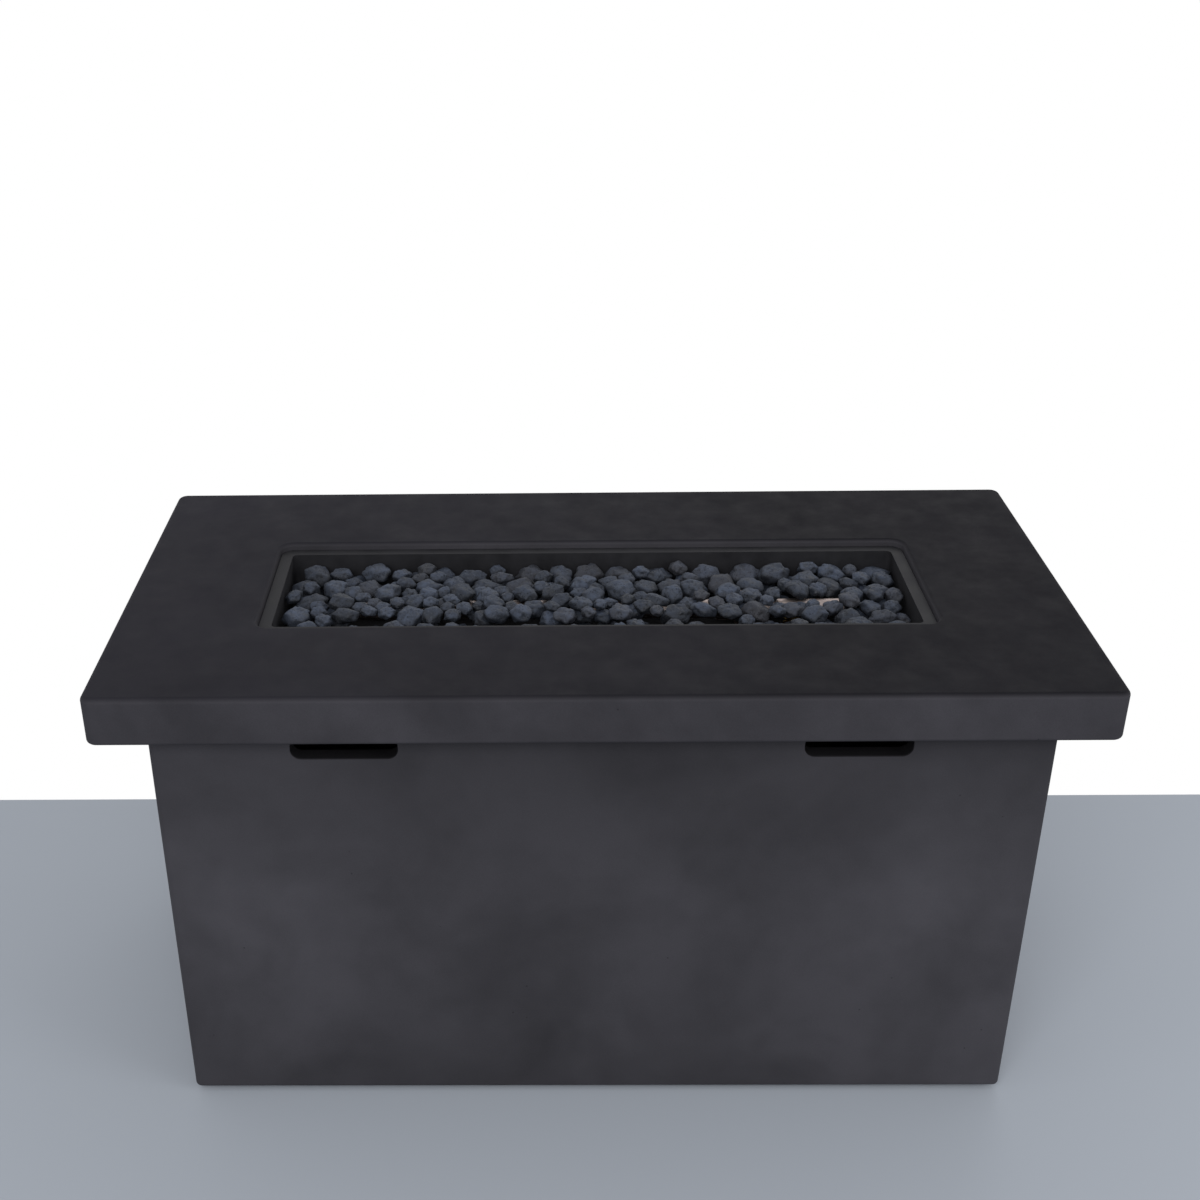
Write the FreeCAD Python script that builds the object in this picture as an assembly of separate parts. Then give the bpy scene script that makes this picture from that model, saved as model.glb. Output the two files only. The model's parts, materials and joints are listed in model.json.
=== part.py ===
import FreeCAD, Part
import itertools
import math
import os
import random

from FreeCAD import Vector

# A rectangular fire pit table. It is cast in concrete as a slab on a box body, with a gas burner pan let
# into the slab, a tube burner under lava stones, and a door and controls in the rear wall of the body.
# Millimetres. X runs along the length, the front faces -Y, Z is up from the surface that the feet stand on,
# and the origin is below the middle of the slab.

# Overall sizes
table_length = 1220.0
table_width = 610.0
table_height = 635.0
slab_thickness = 64.0
side_overhang = 66.0
front_overhang = 28.0
ground_gap = 8.0
wall_thickness = 22.0

# Rounded edges of the castings
slab_corner_radius = 14.0
slab_edge_radius = 7.0
slab_under_radius = 5.0
body_corner_radius = 9.0
body_foot_radius = 5.0

# Fire opening in the slab: a wide rebate for the pan's flange and a narrower hole through
rim_length = 862.0
rim_width = 250.0
rim_corner_radius = 18.0
rim_edge_radius = 5.0
rebate_depth = 11.0
ledge_width = 14.0
flange_gap = 1.5
pan_gap = 2.0

# Burner pan, folded from steel sheet with a dark coating
pan_sheet = 1.5
pan_depth = 60.0
pan_corner_radius = 8.0
drain_hole_radius = 4.0
drain_hole_columns = (-380.0, -190.0, 0.0, 130.0, 380.0)
drain_hole_rows = (-85.0, 85.0)

# Slots under the slab, two in the front wall and two in the rear wall
slot_width = 130.0
slot_height = 30.0
slot_radius = 13.0
slot_share = 0.566
slot_drop = 7.0

# Doorway, door frame and door
doorway_width = 360.0
doorway_head = 59.0
doorway_sill = 38.0
frame_sheet = 1.5
frame_flange = 13.5
frame_reach = 4.0
casting_gap = 0.5
door_gap = 2.0
door_sheet = 1.5
door_return = 15.5
louvre_count = 5
louvre_width = 150.0
louvre_height = 6.0
louvre_pitch = 15.0
louvre_lift = 40.0

# Hinges of the door
hinge_height = 54.0
hinge_spacing = 320.0
knuckle_radius = 4.0
knuckle_lift = 0.2
leaf_sheet = 1.5
leaf_gap = 0.6
fixed_leaf_width = 8.0
moving_leaf_width = 26.0
hinge_pin_radius = 2.0
pin_play = 0.06
knuckle_gap = 0.3

# Door pull, strike plate and magnet catch
pull_height = 110.0
pull_depth = 25.0
pull_rod_radius = 5.0
pull_inset = 34.0
catch_height = 40.0
catch_width = 20.0
catch_depth = 10.0
strike_gap = 0.3

# Screws and threaded inserts
wall_screw_radius = 3.0
wall_screw_length = 16.0
wall_screw_head_radius = 5.2
wall_screw_head_height = 2.7
rail_screw_share = 0.78
insert_radius = 5.5
insert_length = 15.0
small_screw_radius = 2.0
small_screw_length = 9.0
small_screw_head_radius = 3.4
small_screw_head_height = 1.6
leaf_screw_length = 6.0
wall_screw_skin = 4.0
thread_play = 0.05

# Base rails, corner plates, shelf and feet
rail_leg = 25.0
rail_sheet = 3.0
rail_lift = 4.0
plate_side = 84.0
plate_sheet = 4.0
nut_height = 9.0
nut_flats = 17.0
foot_inset = 48.0
foot_pad_radius = 19.0
foot_pad_height = 7.0
foot_stem_radius = 5.0
foot_stem_length = 36.0
foot_play = 0.06
foot_slot_width = 1.6
foot_slot_depth = 2.0
lock_nut_height = 5.0
lock_nut_flats = 16.0
shelf_sheet = 2.0
shelf_hole_radius = 14.0
shelf_hole_columns = (-330.0, -270.0, 270.0, 330.0)
shelf_hole_rows = (-110.0, -40.0, 40.0, 110.0)

# Ring that keeps the gas cylinder in its place
ring_radius = 160.0
ring_sheet = 3.0
ring_height = 28.0
ring_offset = 14.0
ring_tab = 22.0

# Brackets between the slab and the body
bracket_length = 70.0
bracket_leg = 40.0
bracket_sheet = 3.0
bracket_share = 0.843

# Heat shield under the pan
shield_length = 380.0
shield_shift = -25.0
shield_width = 330.0
shield_sheet = 1.0
shield_drop = 26.0
shield_lip = 8.0
spacer_radius = 6.0
spacer_inset_x = 20.0
spacer_inset_y = 18.0

# Burner tube, its brackets and its gas inlet
burner_length = 664.0
burner_radius = 12.7
burner_wall = 1.2
burner_offset = 3.0
burner_drop = 31.0
port_radius = 1.3
port_pitch = 16.0
saddle_sheet = 2.0
saddle_length = 20.0
saddle_spacing = 520.0
saddle_shift = 60.0
inlet_x = 268.0
nipple_radius = 8.6
nipple_bore = 6.0
nipple_collar = 24.0
nipple_collar_height = 6.0
inlet_nut_height = 6.0
inlet_nut_flats = 26.0
mixer_radius = 13.0
mixer_bore = 9.5
mixer_length = 74.0
mixer_hole_radius = 5.0
socket_depth = 14.0
socket_play = 0.05
elbow_radius = 9.0
elbow_flats = 20.0
elbow_arm_radius = 8.0
jet_radius = 0.9
jet_length = 3.0
elbow_bore = 3.0
elbow_height = 20.0
elbow_reach = 26.0

# Pilot: spark electrode and thermocouple in a small hood beside the burner
pilot_x = 198.0
pilot_offset = 38.0
pilot_length = 62.0
pilot_width = 34.0
pilot_height = 27.0
pilot_sheet = 1.2
hood_gap = 4.0
electrode_radius = 3.5
thermocouple_radius = 2.6
tip_radius = 1.2
probe_spacing = 26.0
probe_rise = 21.0
probe_drop = 6.0
probe_play = 0.05
probe_collar = 8.0
probe_tip = 6.0

# Control plate on the rear wall, with the valve and the igniter
control_gap = 85.0
control_drop = 153.0
control_length = 150.0
control_height = 92.0
control_sheet = 2.0
control_hole_length = 110.0
control_hole_height = 60.0
control_screw_inset = 9.0
valve_shift = -30.0
igniter_shift = 31.0

# Gas valve
valve_radius = 16.0
port_distance = 13.0
port_radius_more = 2.0
port_drop = 3.0
valve_length = 50.0
plug_radius = 10.0
plug_length = 27.0
plug_bore = 2.6
shaft_play = 0.05
stem_radius = 4.0
stem_flat = 2.4
neck_radius = 9.0
neck_length = 9.0
valve_lip = 15.0
tang_side = 5.0
tang_play = 0.15
tang_length = 16.0
push_travel = 4.0
stop_gap = 0.3
end_fitting_radius = 8.0
end_fitting_length = 16.0
inlet_fitting_radius = 7.94
inlet_fitting_length = 18.0
inlet_bore = 3.5
inlet_fitting_flats = 18.3
inlet_fitting_nut = 6.0
inlet_fitting_chamfer = 1.2
outlet_flange = 5.0
outlet_spigot = 4.0
magnet_boss_radius = 4.5
magnet_boss_length = 12.0
bezel_radius = 27.0
bezel_sheet = 2.0
bezel_marks = (0, 90, 210)
mark_width = 1.2
mark_length = 3.0
mark_depth = 0.5
knob_nut_height = 3.0
knob_nut_flats = 24.3
knob_radius = 22.0
knob_length = 24.0
knob_gap = 1.2
knob_roof = 6.0
knob_skirt = 5.0
knob_flute_count = 12
knob_flute_radius = 3.0
pointer_width = 3.0

# Igniter
igniter_radius = 11.0
igniter_length = 66.0
igniter_flange = 14.5
igniter_flange_sheet = 3.0
igniter_floor = 5.0
igniter_nut_height = 6.0
igniter_nut_flats = 27.5
cap_radius = 8.5
cap_play = 0.05
cap_rise = 6.0
cap_length = 15.0
cap_travel = 4.0
battery_radius = 5.25
battery_length = 38.0
spring_wire = 0.8
spring_radius = 3.6
spring_turns = 4
spring_points = 12

# Gas line and the two leads, each held at both ends
gas_line_radius = 5.0
igniter_lead_radius = 1.8
thermocouple_lead_radius = 1.3
gas_line_run = 46.0
igniter_lead_bends = ((0, 0, -26), (22, 22, -50), (60, 47, -74), (104, 72, -100))
igniter_lead_entry = (-27, -47, 12)
igniter_lead_run = 26.0
thermocouple_bends = ((0, 0, -22), (16, 24, -38), (42, 66, -44), (74, 112, -46))
thermocouple_entry = (-18, -56)
thermocouple_run = 24.0

# Lava stones: length, width and height of each layer's stones, and of those that hide the burner
stone_seed = 17
stone_forms = 24
stone_corners = 14
stone_sizes = ((48.0, 39.0, 25.0), (50.0, 41.0, 28.0), (42.0, 33.0, 22.0))
filler_size = (31.0, 25.0, 19.0)
filler_pitch = 11.0
filler_depth = 19.0
stone_spread = 0.9
stone_tilt = 14.0
stone_tries = 7
stone_play = 0.3
stone_drop = 16.0
flat_stone_height = 20.0
cover_sizes = ((44.0, 36.0, 26.0), (36.0, 30.0, 21.0), (26.0, 22.0, 15.0))
cover_tries = 150
cover_pitch = 6.0
cover_rows = (-6.0, -22.0, -42.0)
sight_angles = (0, 40, 80)
cover_spread = 20.0
cover_drop = 9.0
sight_reach = 90.0
eye_place = (-75.0, -1884.0, 1556.0)
bare_places = (-161.0, -103.0, -66.0, 151.0)
bare_half_width = 2.0
bare_stretch = (243.0, 326.0)
bare_steps = 9

# Places that follow from the sizes above
half_length = table_length / 2
half_width = table_width / 2
slab_bottom = table_height - slab_thickness
body_half_length = half_length - side_overhang
body_half_width = half_width - front_overhang
inner_half_length = body_half_length - wall_thickness
inner_half_width = body_half_width - wall_thickness
rear_face = body_half_width
rear_inner = inner_half_width
slot_x = slot_share * body_half_length
bracket_x = bracket_share * inner_half_length
ledge_z = table_height - rebate_depth
hole_half_length = rim_length / 2 - ledge_width
hole_half_width = rim_width / 2 - ledge_width
pan_half_length = hole_half_length - pan_gap
pan_half_width = hole_half_width - pan_gap
pan_bottom = ledge_z - pan_depth
pan_floor = pan_bottom + pan_sheet
flange_top = ledge_z + pan_sheet
doorway_height = slab_bottom - doorway_head - doorway_sill
doorway_mid_z = doorway_sill + doorway_height / 2
frame_half_width = doorway_width / 2 - casting_gap
frame_half_height = doorway_height / 2 - casting_gap
lining_half_width = frame_half_width - frame_sheet
lining_half_height = frame_half_height - frame_sheet
door_half_width = lining_half_width - door_gap
door_half_height = lining_half_height - door_gap
door_face = rear_face + frame_sheet
hinge_x = -(door_half_width + door_gap / 2)
hinge_y = door_face + knuckle_radius + knuckle_lift
rail_z = ground_gap + rail_lift
shelf_z = rail_z + rail_sheet
shelf_top = shelf_z + shelf_sheet
plate_top = shelf_z + plate_sheet
foot_x = inner_half_length - foot_inset
foot_y = inner_half_width - foot_inset
shield_z = pan_bottom - shield_drop
burner_top = table_height - burner_drop
burner_z = burner_top - burner_radius
control_x = doorway_width / 2 + control_gap + control_length / 2
control_z = slab_bottom - control_drop
valve_x = control_x + valve_shift
igniter_x = control_x + igniter_shift
plate_face = rear_face + control_sheet
valve_back = rear_face - valve_length
neck_end = rear_face + neck_length
chamber_end = rear_face - valve_lip
knob_back = neck_end + push_travel + knob_gap
pilot_y = burner_offset + pilot_offset
probe_z = pan_bottom - probe_drop
hood_front_y = burner_offset + burner_radius + hood_gap
stone_ceiling = table_height - stone_drop
cover_ceiling = table_height - cover_drop
golden_angle = math.pi * (3 - math.sqrt(5))


def box(low, high):
    """A block between two opposite corners."""
    size = Vector(*high) - Vector(*low)
    return Part.makeBox(size.x, size.y, size.z, Vector(*low))


def rod(radius, start, end):
    """A round bar from one point to another."""
    along = Vector(*end) - Vector(*start)
    return Part.makeCylinder(radius, along.Length, Vector(*start), along)


def tube(radius, bore, start, end):
    """A round bar with a bore right through."""
    return rod(radius, start, end).cut(rod(bore, start, end))


def hexagon(across_flats, start, end):
    """A hexagonal bar that runs along Y or Z."""
    along = Vector(*end) - Vector(*start)
    radius = across_flats / math.sqrt(3)
    side = Vector(1, 0, 0)
    other = along.cross(side).normalize()
    corners = []
    for step in range(6):
        turn = math.radians(60 * step)
        corners.append(Vector(*start) + side * (radius * math.cos(turn)) + other * (radius * math.sin(turn)))
    return Part.Face(Part.makePolygon(corners + corners[:1])).extrude(along)


def rounded_block(half_x, half_y, low_z, high_z, radius, middle=(0.0, 0.0)):
    """A block with rounded upright corners."""
    x, y = middle
    block = box((x - half_x, y - half_y, low_z), (x + half_x, y + half_y, high_z))
    upright = [edge for edge in block.Edges if abs(edge.tangentAt(0).z) > 0.9]
    return block.makeFillet(radius, upright)


def wall_slot(half_x, half_z, low_y, high_y, radius, middle):
    """A block with rounded corners that runs through a wall along Y."""
    x, z = middle
    block = box((x - half_x, low_y, z - half_z), (x + half_x, high_y, z + half_z))
    along = [edge for edge in block.Edges if abs(edge.tangentAt(0).y) > 0.9]
    return block.makeFillet(radius, along)


def edges_at(shape, height):
    """The edges of a shape that lie wholly at one height."""
    return [
        edge
        for edge in shape.Edges
        if abs(edge.BoundBox.ZMin - height) < 0.01 and abs(edge.BoundBox.ZMax - height) < 0.01
    ]


def joined(shapes):
    """One solid made of shapes that overlap or touch."""
    return shapes[0].multiFuse(shapes[1:]).removeSplitter()


def group(shapes):
    """Separate solids that share a node."""
    return Part.makeCompound(shapes)


def cut_all(shape, tools):
    """A shape with several others taken out of it."""
    return shape.cut(Part.makeCompound(tools))


def four_corners(x, y):
    """The four mirrored places of a point, front left first."""
    return [(sx * x, sy * y) for sy in (-1, 1) for sx in (-1, 1)]


def hose(name, radius, points):
    """A round tube along straight runs joined by tangent arcs."""
    points = [Vector(*point) for point in points]
    edges = []
    start = points[0]
    radii = []
    for before, corner, after in zip(points, points[1:], points[2:]):
        back = before - corner
        ahead = after - corner
        turn = math.pi - back.getAngle(ahead)
        reach = 0.45 * min(back.Length, ahead.Length)
        radii.append(reach / math.tan(turn / 2))
        enter = corner + back.normalize() * reach
        leave = corner + ahead.normalize() * reach
        middle = corner + (back + ahead).normalize() * (radii[-1] / math.cos(turn / 2) - radii[-1])
        edges.append(Part.LineSegment(start, enter).toShape())
        edges.append(Part.Arc(enter, middle, leave).toShape())
        start = leave
    edges.append(Part.LineSegment(start, points[-1]).toShape())
    path = Part.Wire(edges)
    section = Part.Wire([Part.makeCircle(radius, points[0], points[1] - points[0])])
    solid = path.makePipeShell([section], True, False)
    expected = math.pi * radius * radius * path.Length
    print(name, "radii", [round(r, 1) for r in radii], "length", round(path.Length, 1))
    print(name, "volume over section times length", round(solid.Volume / expected, 4))
    return solid


def wall_screw(start, direction):
    """A screw for a threaded insert: its head sits at start and its shank runs along direction."""
    start = Vector(*start)
    direction = Vector(*direction)
    head = Part.makeCylinder(wall_screw_head_radius, wall_screw_head_height, start, -direction)
    shank = Part.makeCylinder(wall_screw_radius, wall_screw_length, start, direction)
    key = hexagon_socket(start - direction * wall_screw_head_height, direction, wall_screw_radius)
    return head.fuse(shank).cut(key)


def hexagon_socket(start, direction, size):
    """The six-sided recess of a screw's head."""
    side = Vector(0, 0, 1) if abs(direction.z) < 0.5 else Vector(1, 0, 0)
    other = direction.cross(side)
    corners = []
    for step in range(6):
        turn = math.radians(60 * step)
        reach = size * 0.75
        corners.append(start + side * (reach * math.cos(turn)) + other * (reach * math.sin(turn)))
    return Part.Face(Part.makePolygon(corners + corners[:1])).extrude(direction * size * 0.5)


def small_screw(start, direction, length=small_screw_length):
    """A small pan head screw whose head sits at start and whose shank runs along direction."""
    start = Vector(*start)
    direction = Vector(*direction)
    head = Part.makeCylinder(small_screw_head_radius, small_screw_head_height, start, -direction)
    head = head.makeFillet(small_screw_head_height * 0.6, far_edges(head, start))
    return head.fuse(Part.makeCylinder(small_screw_radius, length, start, direction))


def far_edges(shape, start):
    """The circular edges that lie furthest from a point."""
    rings = [edge for edge in shape.Edges if len(edge.Vertexes) == 1]
    reach = max((edge.BoundBox.Center - start).Length for edge in rings)
    return [edge for edge in rings if (edge.BoundBox.Center - start).Length > reach - 0.01]


def screw_places():
    """Where each wall screw's head sits and the way that it points."""
    places = []
    for x, y in bracket_places():
        out = math.copysign(1, y)
        face = out * (inner_half_width - bracket_sheet)
        for step in (-1, 1):
            along = x + step * bracket_length / 4
            places.append(((along, face, slab_bottom - bracket_leg * 0.6), (0, out, 0)))
            up_y = out * (inner_half_width - bracket_leg * 0.6)
            places.append(((along, up_y, slab_bottom - bracket_sheet), (0, 0, 1)))
    rail_screw_z = rail_z + rail_leg * 0.62
    for out in (-1, 1):
        for share in (-rail_screw_share, rail_screw_share):
            x = share * inner_half_length
            face = out * (inner_half_width - casting_gap - rail_sheet)
            places.append(((x, face, rail_screw_z), (0, out, 0)))
            y = share * 0.55 * inner_half_width
            face = out * (inner_half_length - casting_gap - rail_sheet)
            places.append(((face, y, rail_screw_z), (out, 0, 0)))
    return places


def bracket_places():
    """The middle of each slab bracket along the front and rear walls."""
    return four_corners(bracket_x, inner_half_width)


def insert_pocket(start, direction, radius, length):
    """The round space of a threaded insert, set in the casting behind what its screw holds."""
    start = Vector(*start)
    direction = Vector(*direction)
    if abs(direction.z) > 0.5:
        face = start + direction * bracket_sheet
    elif abs(direction.y) > 0.5:
        face = Vector(start.x, direction.y * inner_half_width, start.z)
    else:
        face = Vector(direction.x * inner_half_length, start.y, start.z)
    return Part.makeCylinder(radius, length, face, direction)


def slot_places():
    """The middle of each slot in the front and rear walls."""
    z = slab_bottom - slot_drop - slot_height / 2
    return [(x, y, z) for x, y in four_corners(slot_x, body_half_width)]


def make_tabletop():
    slab = rounded_block(half_length, half_width, slab_bottom, table_height, slab_corner_radius)
    slab = slab.makeFillet(slab_edge_radius, edges_at(slab, table_height))
    slab = slab.makeFillet(slab_under_radius, edges_at(slab, slab_bottom))
    rim_radius = rim_corner_radius
    rebate = rounded_block(rim_length / 2, rim_width / 2, ledge_z, table_height + 1, rim_radius)
    hole_radius = rim_corner_radius - ledge_width / 2
    hole = rounded_block(hole_half_length, hole_half_width, slab_bottom - 1, ledge_z + 1, hole_radius)
    slab = slab.cut(rebate)
    rim = []
    for edge in edges_at(slab, table_height):
        middle = edge.BoundBox.Center
        if abs(middle.x) < rim_length / 2 + 1 and abs(middle.y) < rim_width / 2 + 1:
            rim.append(edge)
    slab = slab.makeFillet(rim_edge_radius, rim)
    tools = [hole]
    for start, direction in screw_places():
        if direction[2]:
            tools.append(insert_pocket(start, direction, insert_radius, insert_length))
    return cut_all(slab, tools)


def make_body_shell():
    shell = rounded_block(body_half_length, body_half_width, ground_gap, slab_bottom, body_corner_radius)
    shell = shell.makeFillet(body_foot_radius, edges_at(shell, ground_gap))
    low = (-inner_half_length, -inner_half_width, ground_gap - 1)
    tools = [box(low, (inner_half_length, inner_half_width, slab_bottom + 1))]
    for x, y, z in slot_places():
        low_y = min(y, y - math.copysign(wall_thickness, y)) - 5
        high_y = low_y + wall_thickness + 10
        tools.append(wall_slot(slot_width / 2, slot_height / 2, low_y, high_y, slot_radius, (x, z)))
    door_low = (-doorway_width / 2, rear_inner - 5, doorway_sill)
    door_high = (doorway_width / 2, rear_face + 5, doorway_sill + doorway_height)
    tools.append(box(door_low, door_high))
    tools.append(
        wall_slot(
            control_hole_length / 2,
            control_hole_height / 2,
            rear_inner - 5,
            rear_face + 5,
            casting_gap * 10,
            (control_x, control_z),
        )
    )
    for start, direction in screw_places():
        if not direction[2]:
            tools.append(insert_pocket(start, direction, insert_radius, insert_length))
    for x, z in control_screw_places():
        tools.append(wall_pilot_hole(x, z))
    for x, z in frame_screw_places():
        tools.append(wall_pilot_hole(x, z))
    return cut_all(shell, tools)


def wall_pilot_hole(x, z):
    """The blind hole of a small screw in the outside of the rear wall."""
    end = rear_face - wall_thickness + wall_screw_skin
    return rod(small_screw_radius, (x, rear_face, z), (x, end, z))


def make_top_brackets():
    brackets = []
    for x, y in bracket_places():
        out = math.copysign(1, y)
        near = y - out * bracket_leg
        upright_face = y - out * bracket_sheet
        low_x = x - bracket_length / 2
        high_x = x + bracket_length / 2
        ys = sorted((y, upright_face))
        upright = box((low_x, ys[0], slab_bottom - bracket_leg), (high_x, ys[1], slab_bottom))
        ys = sorted((y, near))
        level = box((low_x, ys[0], slab_bottom - bracket_sheet), (high_x, ys[1], slab_bottom))
        brackets.append(joined([upright, level]))
    holes = [screw_hole(start, direction) for start, direction in screw_places()]
    return cut_all(group(brackets), holes)


def screw_hole(start, direction):
    """The clearance of a wall screw through the sheet that it holds."""
    start = Vector(*start)
    direction = Vector(*direction)
    return Part.makeCylinder(wall_screw_radius + thread_play, rail_sheet * 2, start - direction, direction)


def make_wall_screws():
    return group([wall_screw(start, direction) for start, direction in screw_places()])


def make_threaded_inserts():
    sleeves = []
    for start, direction in screw_places():
        outside = insert_pocket(start, direction, insert_radius, insert_length)
        bore = insert_pocket(start, direction, wall_screw_radius + thread_play, insert_length + 1)
        sleeves.append(outside.cut(bore))
    return group(sleeves)


def make_base_rail(side):
    """One angle rail along the foot of a wall: side is front, rear, left or right."""
    reach_x = inner_half_length - casting_gap
    reach_y = inner_half_width - casting_gap
    top = rail_z + rail_leg
    if side in ("front", "rear"):
        out = 1 if side == "rear" else -1
        ys = sorted((out * reach_y, out * (reach_y - rail_sheet)))
        upright = box((-reach_x, ys[0], rail_z), (reach_x, ys[1], top))
        ys = sorted((out * reach_y, out * (reach_y - rail_leg)))
        level = box((-reach_x, ys[0], rail_z), (reach_x, ys[1], rail_z + rail_sheet))
    else:
        out = 1 if side == "right" else -1
        end_y = reach_y - rail_leg
        xs = sorted((out * reach_x, out * (reach_x - rail_sheet)))
        upright = box((xs[0], -end_y, rail_z), (xs[1], end_y, top))
        xs = sorted((out * reach_x, out * (reach_x - rail_leg)))
        level = box((xs[0], -end_y, rail_z), (xs[1], end_y, rail_z + rail_sheet))
    rail = joined([upright, level])
    return cut_all(rail, [screw_hole(start, direction) for start, direction in screw_places()])


def make_corner_plates():
    plates = []
    for x, y in four_corners(1, 1):
        far_x = x * (inner_half_length - casting_gap - rail_sheet)
        far_y = y * (inner_half_width - casting_gap - rail_sheet)
        xs = sorted((far_x, far_x - x * plate_side))
        ys = sorted((far_y, far_y - y * plate_side))
        plate = box((xs[0], ys[0], shelf_z), (xs[1], ys[1], plate_top))
        at = (x * foot_x, y * foot_y)
        nut = hexagon(nut_flats, (*at, plate_top), (*at, plate_top + nut_height))
        hole = rod(foot_stem_radius + foot_play, (*at, shelf_z - 1), (*at, plate_top + nut_height + 1))
        plates.append(joined([plate, nut]).cut(hole))
    return group(plates)


def make_levelling_foot(x, y):
    pad = rod(foot_pad_radius, (x, y, 0), (x, y, foot_pad_height))
    pad = pad.makeFillet(foot_pad_height * 0.3, edges_at(pad, foot_pad_height))
    stem_top = foot_pad_height + foot_stem_length
    stem = rod(foot_stem_radius, (x, y, foot_pad_height), (x, y, stem_top))
    stem = stem.makeChamfer(foot_stem_radius * 0.15, edges_at(stem, stem_top))
    half = foot_slot_width / 2
    slot_low = (x - foot_stem_radius, y - half, stem_top - foot_slot_depth)
    slot = box(slot_low, (x + foot_stem_radius, y + half, stem_top + 1))
    return pad.fuse(stem).cut(slot)


def make_foot_lock_nuts():
    nuts = []
    for x, y in four_corners(foot_x, foot_y):
        low = shelf_z - lock_nut_height
        nut = hexagon(lock_nut_flats, (x, y, low), (x, y, shelf_z))
        nuts.append(nut.cut(rod(foot_stem_radius + foot_play, (x, y, low - 1), (x, y, shelf_z + 1))))
    return group(nuts)


def make_floor_shelf():
    reach_x = inner_half_length - casting_gap - rail_sheet - casting_gap
    reach_y = inner_half_width - casting_gap - rail_sheet - casting_gap
    sheet = box((-reach_x, -reach_y, shelf_z), (reach_x, reach_y, shelf_top))
    tools = []
    notch = plate_side + casting_gap
    for x, y in four_corners(1, 1):
        xs = sorted((x * (reach_x + 1), x * (reach_x - notch)))
        ys = sorted((y * (reach_y + 1), y * (reach_y - notch)))
        tools.append(box((xs[0], ys[0], shelf_z - 1), (xs[1], ys[1], shelf_top + 1)))
    for x, y in itertools.product(shelf_hole_columns, shelf_hole_rows):
        tools.append(rod(shelf_hole_radius, (x, y, shelf_z - 1), (x, y, shelf_top + 1)))
    for x, y, turn in ring_tab_places():
        tools.append(rod(small_screw_radius, (x, y, shelf_z - 1), (x, y, shelf_top + 1)))
    return cut_all(sheet, tools)


def ring_tab_places():
    """The middle of each tab that fastens the cylinder ring to the shelf."""
    places = []
    reach = ring_radius + ring_sheet + ring_tab / 2
    for degrees in (45, 135, 225, 315):
        turn = math.radians(degrees)
        places.append((reach * math.cos(turn), ring_offset + reach * math.sin(turn), turn))
    return places


def make_cylinder_ring():
    outer = ring_radius + ring_sheet
    top = shelf_top + ring_height
    middle = (0, ring_offset)
    ring = tube(outer, ring_radius, (*middle, shelf_top), (*middle, top))
    pieces = [ring]
    for x, y, turn in ring_tab_places():
        inward = ring_tab / 2 + ring_sheet / 2
        tab = box((-inward, -ring_tab / 2, shelf_top), (ring_tab / 2, ring_tab / 2, shelf_top + ring_sheet))
        tab.rotate(Vector(0, 0, 0), Vector(0, 0, 1), math.degrees(turn))
        tab.translate(Vector(x, y, 0))
        pieces.append(tab)
    whole = joined(pieces)
    holes = [
        rod(small_screw_radius + thread_play, (x, y, shelf_top - 1), (x, y, shelf_top + 9))
        for x, y, turn in ring_tab_places()
    ]
    return cut_all(whole, holes)


def frame_screw_places():
    """The screws through the door frame's flange, kept clear of the hinges."""
    side = frame_half_width + frame_flange / 2
    end = frame_half_height + frame_flange / 2
    places = [(0, doorway_mid_z - end), (0, doorway_mid_z + end)]
    places += [(side, doorway_mid_z - hinge_spacing / 4), (side, doorway_mid_z + hinge_spacing / 4)]
    places += [(-side, doorway_mid_z - hinge_spacing / 4), (-side, doorway_mid_z + hinge_spacing / 4)]
    return places


def hinge_heights():
    """The middle of each hinge."""
    return (doorway_mid_z - hinge_spacing / 2, doorway_mid_z + hinge_spacing / 2)


def fixed_leaf_screw_places():
    """The screws of the fixed leaves, through the frame's flange."""
    x = hinge_x - knuckle_radius - leaf_gap - fixed_leaf_width / 2
    return [(x, z + step * hinge_height / 3) for z in hinge_heights() for step in (-1, 1)]


def moving_leaf_screw_places():
    """The screws of the moving leaves, through the face of the door."""
    x = hinge_x + knuckle_radius + leaf_gap + moving_leaf_width * 0.6
    return [(x, z + step * hinge_height / 3) for z in hinge_heights() for step in (-1, 1)]


def upright_sheet(half_x, half_z, low_y, high_y):
    """A block centred on the doorway."""
    return box((-half_x, low_y, doorway_mid_z - half_z), (half_x, high_y, doorway_mid_z + half_z))


def make_door_frame():
    flange_x = frame_half_width + frame_flange
    flange_z = frame_half_height + frame_flange
    lining = upright_sheet(frame_half_width, frame_half_height, rear_inner - frame_reach, door_face)
    flange = upright_sheet(flange_x, flange_z, rear_face, door_face)
    frame = joined([lining, flange])
    inside = upright_sheet(lining_half_width, lining_half_height, rear_inner - frame_reach - 1, door_face + 1)
    tools = [inside]
    for x, z in frame_screw_places() + fixed_leaf_screw_places():
        tools.append(rod(small_screw_radius, (x, rear_face - 1, z), (x, door_face + 1, z)))
    y = catch_middle_y()
    for step in (-1, 1):
        z = doorway_mid_z + step * catch_height / 4
        start = (lining_half_width - 1, y, z)
        tools.append(rod(small_screw_radius, start, (frame_half_width + 1, y, z)))
    return cut_all(frame, tools)


def catch_middle_y():
    """How far back the middle of the magnet catch lies."""
    return door_face - door_return - strike_gap - door_sheet - catch_depth / 2


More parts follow.
